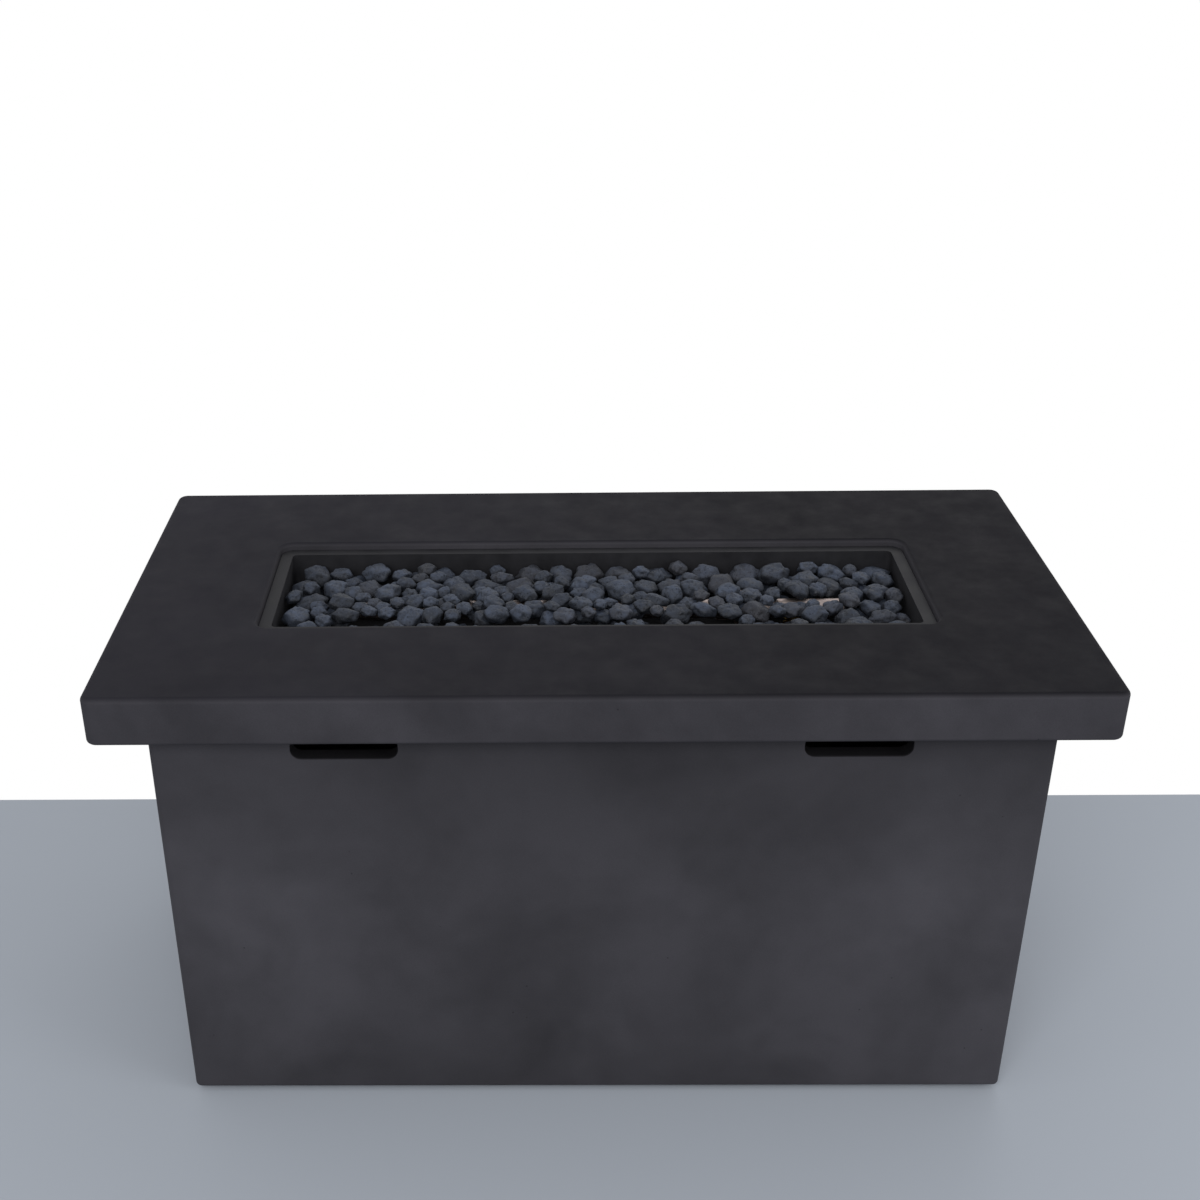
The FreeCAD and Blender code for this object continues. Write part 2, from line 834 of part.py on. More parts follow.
def make_magnet_catch():
    y = catch_middle_y()
    far = lining_half_width
    low = (far - catch_width, y - catch_depth / 2, doorway_mid_z - catch_height / 2)
    high = (far, y + catch_depth / 2, doorway_mid_z + catch_height / 2)
    block = box(low, high)
    upright = [edge for edge in block.Edges if abs(edge.tangentAt(0).z) > 0.9]
    return block.makeFillet(2, [edge for edge in upright if edge.BoundBox.Center.x < far - 1])


def make_catch_screws():
    """Two flush screws in the frame's lining, which hold the catch."""
    y = catch_middle_y()
    screws = []
    for step in (-1, 1):
        z = doorway_mid_z + step * catch_height / 4
        screws.append(rod(small_screw_radius, (lining_half_width, y, z), (frame_half_width, y, z)))
    return screws


def make_door_panel():
    back = door_face - door_return
    outer = upright_sheet(door_half_width, door_half_height, back, door_face)
    inner_x = door_half_width - door_sheet
    inner_z = door_half_height - door_sheet
    door = outer.cut(upright_sheet(inner_x, inner_z, back - 1, door_face - door_sheet))
    tools = []
    for number in range(louvre_count):
        z = doorway_mid_z - door_half_height + louvre_lift + number * louvre_pitch
        low_y = door_face - door_sheet - 1
        radius = louvre_height * 0.45
        tools.append(wall_slot(louvre_width / 2, louvre_height / 2, low_y, door_face + 1, radius, (0, z)))
    for x, z in moving_leaf_screw_places() + pull_post_places():
        tools.append(rod(small_screw_radius, (x, door_face - door_sheet - 1, z), (x, door_face + 1, z)))
    return cut_all(door, tools)


def make_strike_plate():
    """A folded plate behind the free edge of the door, which the magnet catch holds."""
    back = door_face - door_return
    high_x = door_half_width - door_sheet
    low_x = high_x - catch_width + door_gap
    half = catch_height / 2
    level = box((low_x, back - door_sheet, doorway_mid_z - half), (high_x, back, doorway_mid_z + half))
    leg_x = low_x + door_sheet
    leg = box((low_x, back, doorway_mid_z - half), (leg_x, door_face - door_sheet, doorway_mid_z + half))
    return joined([level, leg])


def make_hinge_leaf(z, moving):
    """One leaf: the fixed leaf has the two end knuckles, and the moving leaf has the middle one."""
    side = 1 if moving else -1
    width = moving_leaf_width if moving else fixed_leaf_width
    near = knuckle_radius + leaf_gap
    xs = sorted((hinge_x + side * near, hinge_x + side * (near + width)))
    half = hinge_height / 2
    plate = box((xs[0], door_face, z - half), (xs[1], door_face + leaf_sheet, z + half))
    third = hinge_height / 3
    spans = [(z - third / 2 + knuckle_gap, z + third / 2 - knuckle_gap)]
    if not moving:
        spans = [(z - half, z - third / 2), (z + third / 2, z + half)]
    pieces = [plate]
    for low_z, high_z in spans:
        tab = sorted((hinge_x, hinge_x + side * near))
        pieces.append(box((tab[0], door_face, low_z), (tab[1], door_face + leaf_sheet, high_z)))
        pieces.append(rod(knuckle_radius, (hinge_x, hinge_y, low_z), (hinge_x, hinge_y, high_z)))
    bore = hinge_pin_radius + (pin_play if moving else 0)
    leaf = joined(pieces).cut(rod(bore, (hinge_x, hinge_y, z - half - 1), (hinge_x, hinge_y, z + half + 1)))
    places = moving_leaf_screw_places() if moving else fixed_leaf_screw_places()
    holes = [rod(small_screw_radius, (x, door_face - 1, sz), (x, door_face + 5, sz)) for x, sz in places]
    return cut_all(leaf, holes)


def make_hinge_pins():
    pins = []
    for z in hinge_heights():
        half = hinge_height / 2
        pin = rod(hinge_pin_radius, (hinge_x, hinge_y, z - half), (hinge_x, hinge_y, z + half))
        top = z + half
        head = rod(hinge_pin_radius * 1.6, (hinge_x, hinge_y, top), (hinge_x, hinge_y, top + 1.5))
        pins.append(pin.fuse(head))
    return group(pins)


def pull_post_places():
    """Where the posts of the door pull meet the door."""
    x = door_half_width - pull_inset
    return [(x, doorway_mid_z + step * (pull_height / 2 - pull_rod_radius)) for step in (-1, 1)]


def make_door_pull():
    bar_y = door_face + pull_depth - pull_rod_radius
    places = pull_post_places()
    x = places[0][0]
    half = pull_height / 2
    bar = rod(pull_rod_radius, (x, bar_y, doorway_mid_z - half), (x, bar_y, doorway_mid_z + half))
    bar = bar.makeFillet(
        pull_rod_radius * 0.3,
        edges_at(bar, doorway_mid_z - half) + edges_at(bar, doorway_mid_z + half),
    )
    pieces = [bar]
    for post_x, post_z in places:
        pieces.append(rod(pull_rod_radius * 0.8, (post_x, door_face, post_z), (post_x, bar_y, post_z)))
    hole_end = door_face - door_sheet + small_screw_length
    holes = []
    for post_x, post_z in places:
        holes.append(rod(small_screw_radius, (post_x, door_face - 1, post_z), (post_x, hole_end, post_z)))
    return cut_all(joined(pieces), holes)


def make_door_screws():
    """Screws of the moving leaves, and those of the pull from behind."""
    front = door_face + leaf_sheet
    back = door_face - door_sheet
    screws = [small_screw((x, back, z), (0, 1, 0)) for x, z in pull_post_places()]
    for x, z in moving_leaf_screw_places():
        screws.append(small_screw((x, front, z), (0, -1, 0), leaf_screw_length))
    return group(screws)


def make_frame_screws():
    """Screws of the door frame, the fixed leaves, the control plate, the catch and the cylinder ring."""
    depth = wall_thickness - wall_screw_skin
    screws = [small_screw((x, door_face, z), (0, -1, 0), depth) for x, z in frame_screw_places()]
    screws += [small_screw((x, plate_face, z), (0, -1, 0), depth) for x, z in control_screw_places()]
    for x, z in fixed_leaf_screw_places():
        screws.append(small_screw((x, door_face + leaf_sheet, z), (0, -1, 0), leaf_sheet + frame_sheet))
    for x, y, turn in ring_tab_places():
        screws.append(small_screw((x, y, shelf_top + ring_sheet), (0, 0, -1), ring_sheet + shelf_sheet))
    return group(screws + make_catch_screws())


def control_screw_places():
    """The four corner screws of the control plate."""
    x = control_length / 2 - control_screw_inset
    z = control_height / 2 - control_screw_inset
    return [(control_x + sx, control_z + sz) for sx, sz in four_corners(x, z)]


def make_control_plate():
    half_x = control_length / 2
    half_z = control_height / 2
    plate = wall_slot(half_x, half_z, rear_face, plate_face, 8, (control_x, control_z))
    tools = []
    for x, radius in ((valve_x, neck_radius), (igniter_x, igniter_radius)):
        tools.append(rod(radius + shaft_play, (x, rear_face - 1, control_z), (x, plate_face + 1, control_z)))
    for x, z in control_screw_places():
        tools.append(rod(small_screw_radius, (x, rear_face - 1, z), (x, plate_face + 1, z)))
    return cut_all(plate, tools)


def valve_rod(radius, start_y, end_y):
    """A round bar on the valve's axis."""
    return rod(radius, (valve_x, start_y, control_z), (valve_x, end_y, control_z))


def upright_rod(radius, y, low_z, high_z):
    """An upright round bar above or below the valve's axis."""
    return rod(radius, (valve_x, y, low_z), (valve_x, y, high_z))


def port_y():
    """How far back the inlet and the thermocouple's boss lie on the valve."""
    return valve_back + port_distance


def make_valve_body():
    y = port_y()
    port_low = control_z - valve_radius - port_drop
    body = valve_rod(valve_radius, valve_back, rear_face)
    neck = valve_rod(neck_radius, rear_face, neck_end)
    boss = upright_rod(magnet_boss_radius, y, control_z, control_z + valve_radius + magnet_boss_length)
    port = upright_rod(inlet_fitting_radius + port_radius_more, y, port_low, control_z)
    chamber = valve_rod(plug_radius + shaft_play, valve_back - 1, chamber_end)
    stem_hole = valve_rod(stem_radius + shaft_play, chamber_end - 1, neck_end + 1)
    gas_way = upright_rod(inlet_bore, y, port_low - 1, control_z)
    return cut_all(joined([body, neck, boss, port]), [chamber, stem_hole, gas_way])


def make_valve_inlet():
    """The threaded fitting that a gas hose screws on, pointing down."""
    y = port_y()
    top = control_z - valve_radius - port_drop
    nut_low = top - inlet_fitting_nut
    low = nut_low - inlet_fitting_length
    nut = hexagon(inlet_fitting_flats, (valve_x, y, nut_low), (valve_x, y, top))
    thread = upright_rod(inlet_fitting_radius, y, low, nut_low)
    thread = thread.makeChamfer(inlet_fitting_chamfer, edges_at(thread, low))
    return joined([nut, thread]).cut(upright_rod(inlet_bore, y, low - 1, top + 1))


def outlet_end():
    """The end of the valve's outlet, where the gas line starts."""
    return valve_back - outlet_flange - end_fitting_length


def make_valve_outlet():
    """The end fitting that closes the valve's chamber and leads to the gas line."""
    flange = valve_rod(valve_radius, valve_back - outlet_flange, valve_back)
    spigot = valve_rod(plug_radius, valve_back, valve_back + outlet_spigot)
    stub = valve_rod(end_fitting_radius, outlet_end(), valve_back - outlet_flange)
    gas_way = valve_rod(inlet_bore, outlet_end() - 1, valve_back + outlet_spigot + 1)
    return joined([flange, spigot, stub]).cut(gas_way)


def make_valve_plug():
    """The turning plug: a cross hole passes the gas, and a square socket takes the stem's tang."""
    end = chamber_end - stop_gap
    start = end - plug_length
    y = port_y()
    cross = upright_rod(plug_bore, y, control_z - plug_radius - 1, control_z)
    bore = valve_rod(inlet_bore, start - 1, y + inlet_bore)
    half = tang_side / 2 + tang_play
    socket_low = (valve_x - half, chamber_end - tang_length - stop_gap, control_z - half)
    socket = box(socket_low, (valve_x + half, end + 1, control_z + half))
    return cut_all(valve_rod(plug_radius, start, end), [cross, bore, socket])


def make_valve_stem():
    """The stem slides through the neck, with its tang in the plug and a flat for the knob."""
    shoulder = chamber_end + push_travel
    end = knob_back + knob_length - knob_roof
    half = tang_side / 2
    tang_low = (valve_x - half, shoulder - tang_length, control_z - half)
    tang = box(tang_low, (valve_x + half, shoulder, control_z + half))
    flat_low = (valve_x - stem_radius, knob_back + knob_roof, control_z + stem_flat)
    flat = box(flat_low, (valve_x + stem_radius, end + 1, control_z + stem_radius + 1))
    return joined([valve_rod(stem_radius, shoulder, end), tang]).cut(flat)


def make_knob_nut():
    """The ring nut on the valve's neck that holds the bezel and the plate."""
    start = plate_face + bezel_sheet
    end = start + knob_nut_height
    nut = hexagon(knob_nut_flats, (valve_x, start, control_z), (valve_x, end, control_z))
    return nut.cut(valve_rod(neck_radius + thread_play, start - 1, end + 1))


def make_control_bezel():
    """The ring behind the knob, with three marks for off, pilot and full flame."""
    end = plate_face + bezel_sheet
    ring = valve_rod(bezel_radius, plate_face, end)
    marks = [valve_rod(neck_radius + shaft_play, plate_face - 1, end + 1)]
    for degrees in bezel_marks:
        low_z = control_z + knob_radius + 1
        low = (valve_x - mark_width / 2, end - mark_depth, low_z)
        mark = box(low, (valve_x + mark_width / 2, end + 1, low_z + mark_length))
        mark.rotate(Vector(valve_x, 0, control_z), Vector(0, 1, 0), degrees)
        marks.append(mark)
    return cut_all(ring, marks)


def make_control_knob():
    front = knob_back + knob_length
    knob = valve_rod(knob_radius, knob_back, front)
    front_edges = [edge for edge in knob.Edges if edge.BoundBox.YMin > front - 0.01]
    knob = knob.makeFillet(2.5, front_edges)
    tools = []
    for number in range(knob_flute_count):
        turn = 2 * math.pi * (number + 0.5) / knob_flute_count
        x = valve_x + (knob_radius + 1) * math.cos(turn)
        z = control_z + (knob_radius + 1) * math.sin(turn)
        tools.append(rod(knob_flute_radius, (x, knob_back + knob_skirt, z), (x, front + 1, z)))
    pointer_low = (valve_x - pointer_width / 2, front - 1, control_z + knob_radius * 0.3)
    tools.append(box(pointer_low, (valve_x + pointer_width / 2, front + 1, control_z + knob_radius + 1)))
    bore_end = front - knob_roof + stop_gap
    key_start = knob_back + knob_roof + stop_gap
    key_low = (valve_x - stem_radius - 1, key_start, control_z + stem_flat + shaft_play)
    key = box(key_low, (valve_x + stem_radius + 1, bore_end + 1, control_z + stem_radius + 2))
    tools.append(valve_rod(stem_radius + shaft_play, knob_back - 1, bore_end).cut(key))
    return cut_all(knob, tools)


def igniter_rod(radius, start_y, end_y):
    """A round bar on the igniter's axis."""
    return rod(radius, (igniter_x, start_y, control_z), (igniter_x, end_y, control_z))


def make_igniter_body():
    back = rear_face - igniter_length
    front = plate_face + igniter_flange_sheet
    flange = igniter_rod(igniter_flange, plate_face, front)
    flange_edges = [edge for edge in flange.Edges if edge.BoundBox.YMin > front - 0.01]
    flange = flange.makeFillet(1.2, flange_edges)
    bore = igniter_rod(cap_radius + cap_play, back + igniter_floor, front + 1)
    return joined([igniter_rod(igniter_radius, back, plate_face), flange]).cut(bore)


def make_igniter_nut():
    low = rear_face - igniter_nut_height
    nut = hexagon(igniter_nut_flats, (igniter_x, low, control_z), (igniter_x, rear_face, control_z))
    return nut.cut(igniter_rod(igniter_radius + thread_play, low - 1, rear_face + 1))


def cap_ends():
    """The front and the back of the igniter's push cap at rest."""
    front = plate_face + igniter_flange_sheet + cap_rise
    return front, front - cap_length


def make_igniter_cap():
    front, back = cap_ends()
    cap = igniter_rod(cap_radius, back, front)
    front_edges = [edge for edge in cap.Edges if edge.BoundBox.YMin > front - 0.01]
    return cap.makeFillet(1.5, front_edges)


def make_battery():
    start = rear_face - igniter_length + igniter_floor
    return igniter_rod(battery_radius, start, start + battery_length)


def make_igniter_spring():
    """A coil behind the cap, drawn at the length that it has while the cap is pressed."""
    start = rear_face - igniter_length + igniter_floor + battery_length
    back = cap_ends()[1] - cap_travel
    length = back - start - spring_wire - stop_gap
    steps = spring_turns * spring_points
    points = []
    for step in range(steps + 1):
        turn = 2 * math.pi * step / spring_points
        around = Vector(math.cos(turn), math.sin(turn), 0) * spring_radius
        points.append(around + Vector(0, 0, length * step / steps))
    curve = Part.BSplineCurve()
    curve.interpolate(points)
    path = curve.toShape()
    circle = Part.makeCircle(spring_wire / 2, points[0], path.tangentAt(path.FirstParameter))
    coil = Part.Wire([path]).makePipeShell([Part.Wire([circle])], True, True)
    coil.rotate(Vector(0, 0, 0), Vector(1, 0, 0), -90)
    coil.translate(Vector(igniter_x, start + spring_wire / 2, control_z))
    return coil


def make_burner_pan():
    flange = rounded_block(
        rim_length / 2 - flange_gap,
        rim_width / 2 - flange_gap,
        ledge_z,
        flange_top,
        rim_corner_radius - flange_gap,
    )
    tray = rounded_block(pan_half_length, pan_half_width, pan_bottom, flange_top, pan_corner_radius)
    tray = tray.makeFillet(pan_sheet * 2, edges_at(tray, pan_bottom))
    hollow = rounded_block(
        pan_half_length - pan_sheet,
        pan_half_width - pan_sheet,
        pan_floor,
        flange_top + 1,
        pan_corner_radius - pan_sheet,
    )
    hollow = hollow.makeFillet(pan_sheet, edges_at(hollow, pan_floor))
    pan = joined([flange, tray]).cut(hollow)
    tools = [pan_hole(inlet_x, burner_offset, nipple_radius + thread_play)]
    for x, y in probe_places():
        tools.append(pan_hole(x, y, electrode_radius + probe_play))
    for x, y in itertools.product(drain_hole_columns, drain_hole_rows):
        tools.append(pan_hole(x, y, drain_hole_radius))
    for x, y in spacer_places():
        tools.append(pan_hole(x, y, small_screw_radius))
    return cut_all(pan, tools)


def pan_hole(x, y, radius):
    """A round hole through the pan's floor."""
    return rod(radius, (x, y, pan_bottom - 1), (x, y, pan_floor + 1))


def make_burner_tube():
    half = burner_length / 2
    outside = rod(burner_radius, (-half, burner_offset, burner_z), (half, burner_offset, burner_z))
    inner = half - burner_wall
    bore = burner_radius - burner_wall
    inside = rod(bore, (-inner, burner_offset, burner_z), (inner, burner_offset, burner_z))
    gas_inlet = rod(nipple_radius, (inlet_x, burner_offset, pan_floor), (inlet_x, burner_offset, burner_z))
    tools = [inside, gas_inlet]
    count = int((burner_length - 2 * port_pitch) / port_pitch)
    for number in range(count + 1):
        x = -count * port_pitch / 2 + number * port_pitch
        for side in (-1, 1):
            start = Vector(x, burner_offset, burner_z)
            tools.append(Part.makeCylinder(port_radius, burner_radius + 2, start, Vector(0, side, 1)))
    return cut_all(outside, tools)


def saddle_places():
    """Where the burner is carried, clear of its inlet."""
    return (-saddle_spacing / 2, saddle_spacing / 2 - saddle_shift)


def make_burner_saddles():
    """Folded brackets that carry the tube above the pan's floor."""
    saddles = []
    half = saddle_length / 2
    reach = burner_radius + saddle_sheet
    for x in saddle_places():
        block = box((x - half, burner_offset - reach, pan_floor), (x + half, burner_offset + reach, burner_z))
        gap_y = burner_radius - saddle_sheet
        window = box(
            (x - half - 1, burner_offset - gap_y, pan_floor + saddle_sheet),
            (x + half + 1, burner_offset + gap_y, burner_z + 1),
        )
        seat_end = (x + half + 1, burner_offset, burner_z)
        seat = rod(burner_radius, (x - half - 1, burner_offset, burner_z), seat_end)
        saddles.append(cut_all(block, [window, seat]))
    return group(saddles)


def make_inlet_nipple():
    """The threaded pipe from the mixer up through the pan into the burner."""
    low = pan_bottom - inlet_nut_height - socket_depth
    at = (inlet_x, burner_offset)
    top = burner_z - math.sqrt(burner_radius**2 - nipple_radius**2) + 1
    pipe = rod(nipple_radius, (*at, low), (*at, top))
    collar = hexagon(nipple_collar, (*at, pan_floor), (*at, pan_floor + nipple_collar_height))
    return joined([pipe, collar]).cut(rod(nipple_bore, (*at, low - 1), (*at, top + 1)))


def make_inlet_nut():
    low = pan_bottom - inlet_nut_height
    at = (inlet_x, burner_offset)
    nut = hexagon(inlet_nut_flats, (*at, low), (*at, pan_bottom))
    return nut.cut(rod(nipple_radius + thread_play, (*at, low - 1), (*at, pan_bottom + 1)))


def mixer_ends():
    """The top and the bottom of the air mixer."""
    top = pan_bottom - inlet_nut_height
    return top, top - mixer_length


def make_air_mixer():
    top, bottom = mixer_ends()
    at = (inlet_x, burner_offset)
    barrel = rod(mixer_radius, (*at, bottom), (*at, top))
    tools = [
        rod(nipple_radius + socket_play, (*at, top - socket_depth), (*at, top + 1)),
        rod(mixer_bore, (*at, bottom + socket_depth), (*at, top - socket_depth + 1)),
        rod(elbow_radius + socket_play, (*at, bottom - 1), (*at, bottom + socket_depth)),
    ]
    middle = bottom + mixer_length * 0.42
    centre = Vector(inlet_x, burner_offset, middle)
    for reach in (Vector(mixer_radius + 1, 0, 0), Vector(0, mixer_radius + 1, 0)):
        tools.append(rod(mixer_hole_radius, centre - reach, centre + reach))
    return cut_all(barrel, tools)


def elbow_z():
    """The height of the orifice elbow's side arm."""
    return mixer_ends()[1] - elbow_height / 2


def make_orifice_elbow():
    """The elbow that ends in the orifice inside the mixer and takes the gas line from the rear."""
    bottom = mixer_ends()[1]
    at = (inlet_x, burner_offset)
    low = bottom - elbow_height
    block = hexagon(elbow_flats, (*at, low), (*at, bottom))
    spigot = rod(elbow_radius, (*at, bottom), (*at, bottom + socket_depth))
    z = elbow_z()
    arm_end = burner_offset + elbow_reach
    arm = rod(elbow_arm_radius, (*at, z), (inlet_x, arm_end, z))
    up = rod(elbow_bore, (*at, z), (*at, bottom + socket_depth - jet_length))
    jet = rod(jet_radius, (*at, z), (*at, bottom + socket_depth + 1))
    along = rod(elbow_bore, (*at, z), (inlet_x, arm_end + 1, z))
    return cut_all(joined([block, spigot, arm]), [up, jet, along])


def probe_places():
    """Where the spark electrode and the thermocouple stand."""
    return [(pilot_x - probe_spacing / 2, pilot_y), (pilot_x + probe_spacing / 2, pilot_y)]


def make_pilot_hood():
    """A folded cover that keeps the stones off the electrode and the thermocouple, open to the burner."""
    half = pilot_length / 2
    top = pan_floor + pilot_height
    low_y = hood_front_y
    high_y = pilot_y + pilot_width / 2
    block = box((pilot_x - half, low_y, pan_floor), (pilot_x + half, high_y, top))
    window = box(
        (pilot_x - half + pilot_sheet, low_y - 1, pan_floor + pilot_sheet),
        (pilot_x + half - pilot_sheet, high_y - pilot_sheet, top - pilot_sheet),
    )
    holes = [
        rod(electrode_radius + probe_play, (x, y, pan_floor - 1), (x, y, pan_floor + pilot_sheet + 1))
        for x, y in probe_places()
    ]
    return cut_all(block.cut(window), holes)


def make_probe(place, radius):
    """A ceramic or steel probe on a shared collar, with a thin tip bent towards the burner."""
    x, y = place
    collar_top = pan_floor + probe_collar
    tip_top = pan_floor + probe_rise
    stem_top = tip_top - probe_tip
    collar = rod(electrode_radius, (x, y, probe_z), (x, y, collar_top))
    stem = rod(radius, (x, y, collar_top), (x, y, stem_top))
    tip = rod(tip_radius * 1.4, (x, y, stem_top - 1), (x, y, tip_top))
    arm_z = tip_top - tip_radius * 1.4
    arm = rod(tip_radius, (x, y, arm_z), (x, hood_front_y + 1, arm_z))
    return joined([collar, stem, tip, arm])


def spacer_places():
    """The four posts that hang the heat shield from the pan."""
    corners = four_corners(shield_length / 2 - spacer_inset_x, pan_half_width - spacer_inset_y)
    return [(x + shield_shift, y) for x, y in corners]


def make_heat_shield():
    low_x = shield_shift - shield_length / 2
    high_x = shield_shift + shield_length / 2
    half_y = shield_width / 2
    top = shield_z + shield_sheet
    sheet = box((low_x, -half_y, shield_z), (high_x, half_y, top))
    lips = []
    for side in (-1, 1):
        ys = sorted((side * half_y, side * (half_y - shield_sheet)))
        lips.append(box((low_x, ys[0], shield_z - shield_lip), (high_x, ys[1], top)))
    holes = [rod(small_screw_radius, (x, y, shield_z - 1), (x, y, top + 1)) for x, y in spacer_places()]
    return cut_all(joined([sheet] + lips), holes)


def make_shield_spacers():
    posts = []
    for x, y in spacer_places():
        posts.append(
            tube(spacer_radius, small_screw_radius, (x, y, shield_z + shield_sheet), (x, y, pan_bottom))
        )
    return group(posts)


def make_shield_screws():
    length = pan_floor - shield_z
    return group([small_screw((x, y, shield_z), (0, 0, 1), length) for x, y in spacer_places()])


def make_gas_line():
    """The flexible metal line between the orifice elbow and the valve's outlet."""
    start_y = burner_offset + elbow_reach
    points = [
        (inlet_x, start_y, elbow_z()),
        (inlet_x, start_y + gas_line_run, elbow_z()),
        (valve_x, outlet_end() - gas_line_run, control_z),
        (valve_x, outlet_end(), control_z),
    ]
    return hose("gas line", gas_line_radius, points)


def make_igniter_lead():
    """The lead from the spark electrode to the igniter."""
    x, y = probe_places()[0]
    end_y = rear_face - igniter_length
    entry_x, entry_y, entry_z = igniter_lead_entry
    points = [(x, y, probe_z)]
    points += [(x + bx, y + by, probe_z + bz) for bx, by, bz in igniter_lead_bends]
    points += [
        (igniter_x + entry_x, end_y + entry_y, control_z + entry_z),
        (igniter_x, end_y - igniter_lead_run, control_z),
        (igniter_x, end_y, control_z),
    ]
    return hose("igniter lead", igniter_lead_radius, points)


def make_thermocouple_lead():
    """The thin lead from the thermocouple to the boss on top of the valve."""
    x, y = probe_places()[1]
    boss_top = control_z + valve_radius + magnet_boss_length
    entry_y, entry_z = thermocouple_entry
    points = [(x, y, probe_z)]
    points += [(x + bx, y + by, probe_z + bz) for bx, by, bz in thermocouple_bends]
    points += [
        (valve_x, port_y() + entry_y, probe_z + entry_z),
        (valve_x, port_y(), boss_top + thermocouple_run),
        (valve_x, port_y(), boss_top),
    ]
    return hose("thermocouple lead", thermocouple_lead_radius, points)


def stone_form(chance):
    """One stone's shape: corners scattered over a ball, with the triangles and edges of their hull."""
    points = []
    for number in range(stone_corners):
        level = 1 - (2 * number + 1) / stone_corners
        angle = number * golden_angle + chance.uniform(-0.24, 0.24)
        around = math.sqrt(1 - level * level)
        spot = Vector(around * math.cos(angle), around * math.sin(angle), level)
        points.append(spot * chance.uniform(0.9, 1.06) / 2)
    faces = []
    for i, j, k in itertools.combinations(range(stone_corners), 3):
        normal = (points[j] - points[i]).cross(points[k] - points[i])
        level = normal.dot(points[i])
        sides = {normal.dot(points[m]) > level for m in range(stone_corners) if m not in (i, j, k)}
        if len(sides) == 1:
            faces.append((i, k, j) if sides.pop() else (i, j, k))
    edges = {tuple(sorted(pair)) for i, j, k in faces for pair in ((i, j), (j, k), (k, i))}
    return {"points": points, "faces": faces, "edges": sorted(edges)}


def placed_stone(chance, form, spot, size):
    """A stone above the pan, sized, tilted and turned by chance."""
    length, width, height = size
    tilt = stone_tilt if height > flat_stone_height else stone_tilt / 3
    long_share, wide_share, high_share = (chance.uniform(0.87, 1.13) for axis in range(3))
    turn = FreeCAD.Rotation(chance.uniform(0, 180), chance.uniform(-tilt, tilt), chance.uniform(-tilt, tilt))
    points = []
    for point in form["points"]:
        sized = Vector(
            point.x * length * long_share,
            point.y * width * wide_share,
            point.z * height * high_share,
        )
        points.append(turn.multVec(sized) + Vector(spot[0], spot[1], table_height))
    planes = []
    for i, j, k in form["faces"]:
        normal = (points[j] - points[i]).cross(points[k] - points[i])
        planes.append((normal.x, normal.y, normal.z, normal.dot(points[i])))
    corners = [(p.x, p.y, p.z) for p in points]
    return {"corners": corners, "edges": form["edges"], "planes": planes, "faces": form["faces"]}


def stone_solid(stone):
    """The solid of a settled stone."""
    points = [Vector(*corner) for corner in stone["corners"]]
    faces = []
    for i, j, k in stone["faces"]:
        faces.append(Part.Face(Part.makePolygon([points[i], points[j], points[k], points[i]])))
    return Part.Solid(Part.Shell(faces))


def span_at(stone, x, y):
    """The lowest and the highest point of a convex solid on an upright line, or None where it misses."""
    low = -1e9
    high = 1e9
    for a, b, c, level in stone["planes"]:
        rest = level - a * x - b * y
        if c > 1e-9:
            high = min(high, rest / c)
        elif c < -1e-9:
            low = max(low, rest / c)
        elif rest < 0:
            return None
    return (low, high) if low < high else None


def fall_room(stone, under):
    """How far one convex solid can fall before it touches another, or None where it passes by."""
    room = []
    for x, y, z in stone["corners"]:
        span = span_at(under, x, y)
        if span:
            room.append(z - span[1])
    for x, y, z in under["corners"]:
        span = span_at(stone, x, y)
        if span:
            room.append(span[0] - z)
    for i, j in stone["edges"]:
        ax, ay, az = stone["corners"][i]
        bx, by, bz = stone["corners"][j]
        ux, uy = bx - ax, by - ay
        for k, m in under["edges"]:
            cx, cy, cz = under["corners"][k]
            dx, dy, dz = under["corners"][m]
            vx, vy = dx - cx, dy - cy
            cross = ux * vy - uy * vx
            if abs(cross) < 1e-9:
                continue
            s = ((cx - ax) * vy - (cy - ay) * vx) / cross
            if s < 0 or s > 1:
                continue
            t = ((cx - ax) * uy - (cy - ay) * ux) / cross
            if 0 <= t <= 1:
                room.append(az + s * (bz - az) - cz - t * (dz - cz))
    return min(room) if room else None


def lowered(stone, drop):
    """A convex solid moved down by a distance."""
    corners = [(x, y, z - drop) for x, y, z in stone["corners"]]
    planes = [(a, b, c, level - c * drop) for a, b, c, level in stone["planes"]]
    return {"corners": corners, "edges": stone["edges"], "planes": planes, "faces": stone["faces"]}


def reach_of(stone):
    """The extent of a convex solid along X, Y and Z."""
    xs, ys, zs = zip(*stone["corners"])
    return min(xs), max(xs), min(ys), max(ys), min(zs), max(zs)


def convex_box(low, high):
    """A block as a convex solid, for what the stones lie on or against."""
    corners = list(itertools.product((low[0], high[0]), (low[1], high[1]), (low[2], high[2])))
    edges = [(i, j) for i, j in itertools.combinations(range(8), 2) if bin(i ^ j).count("1") == 1]
    planes = [(1, 0, 0, high[0]), (-1, 0, 0, -low[0]), (0, 1, 0, high[1]), (0, -1, 0, -low[1])]
    planes += [(0, 0, 1, high[2]), (0, 0, -1, -low[2])]
    return {"corners": corners, "edges": edges, "planes": planes}


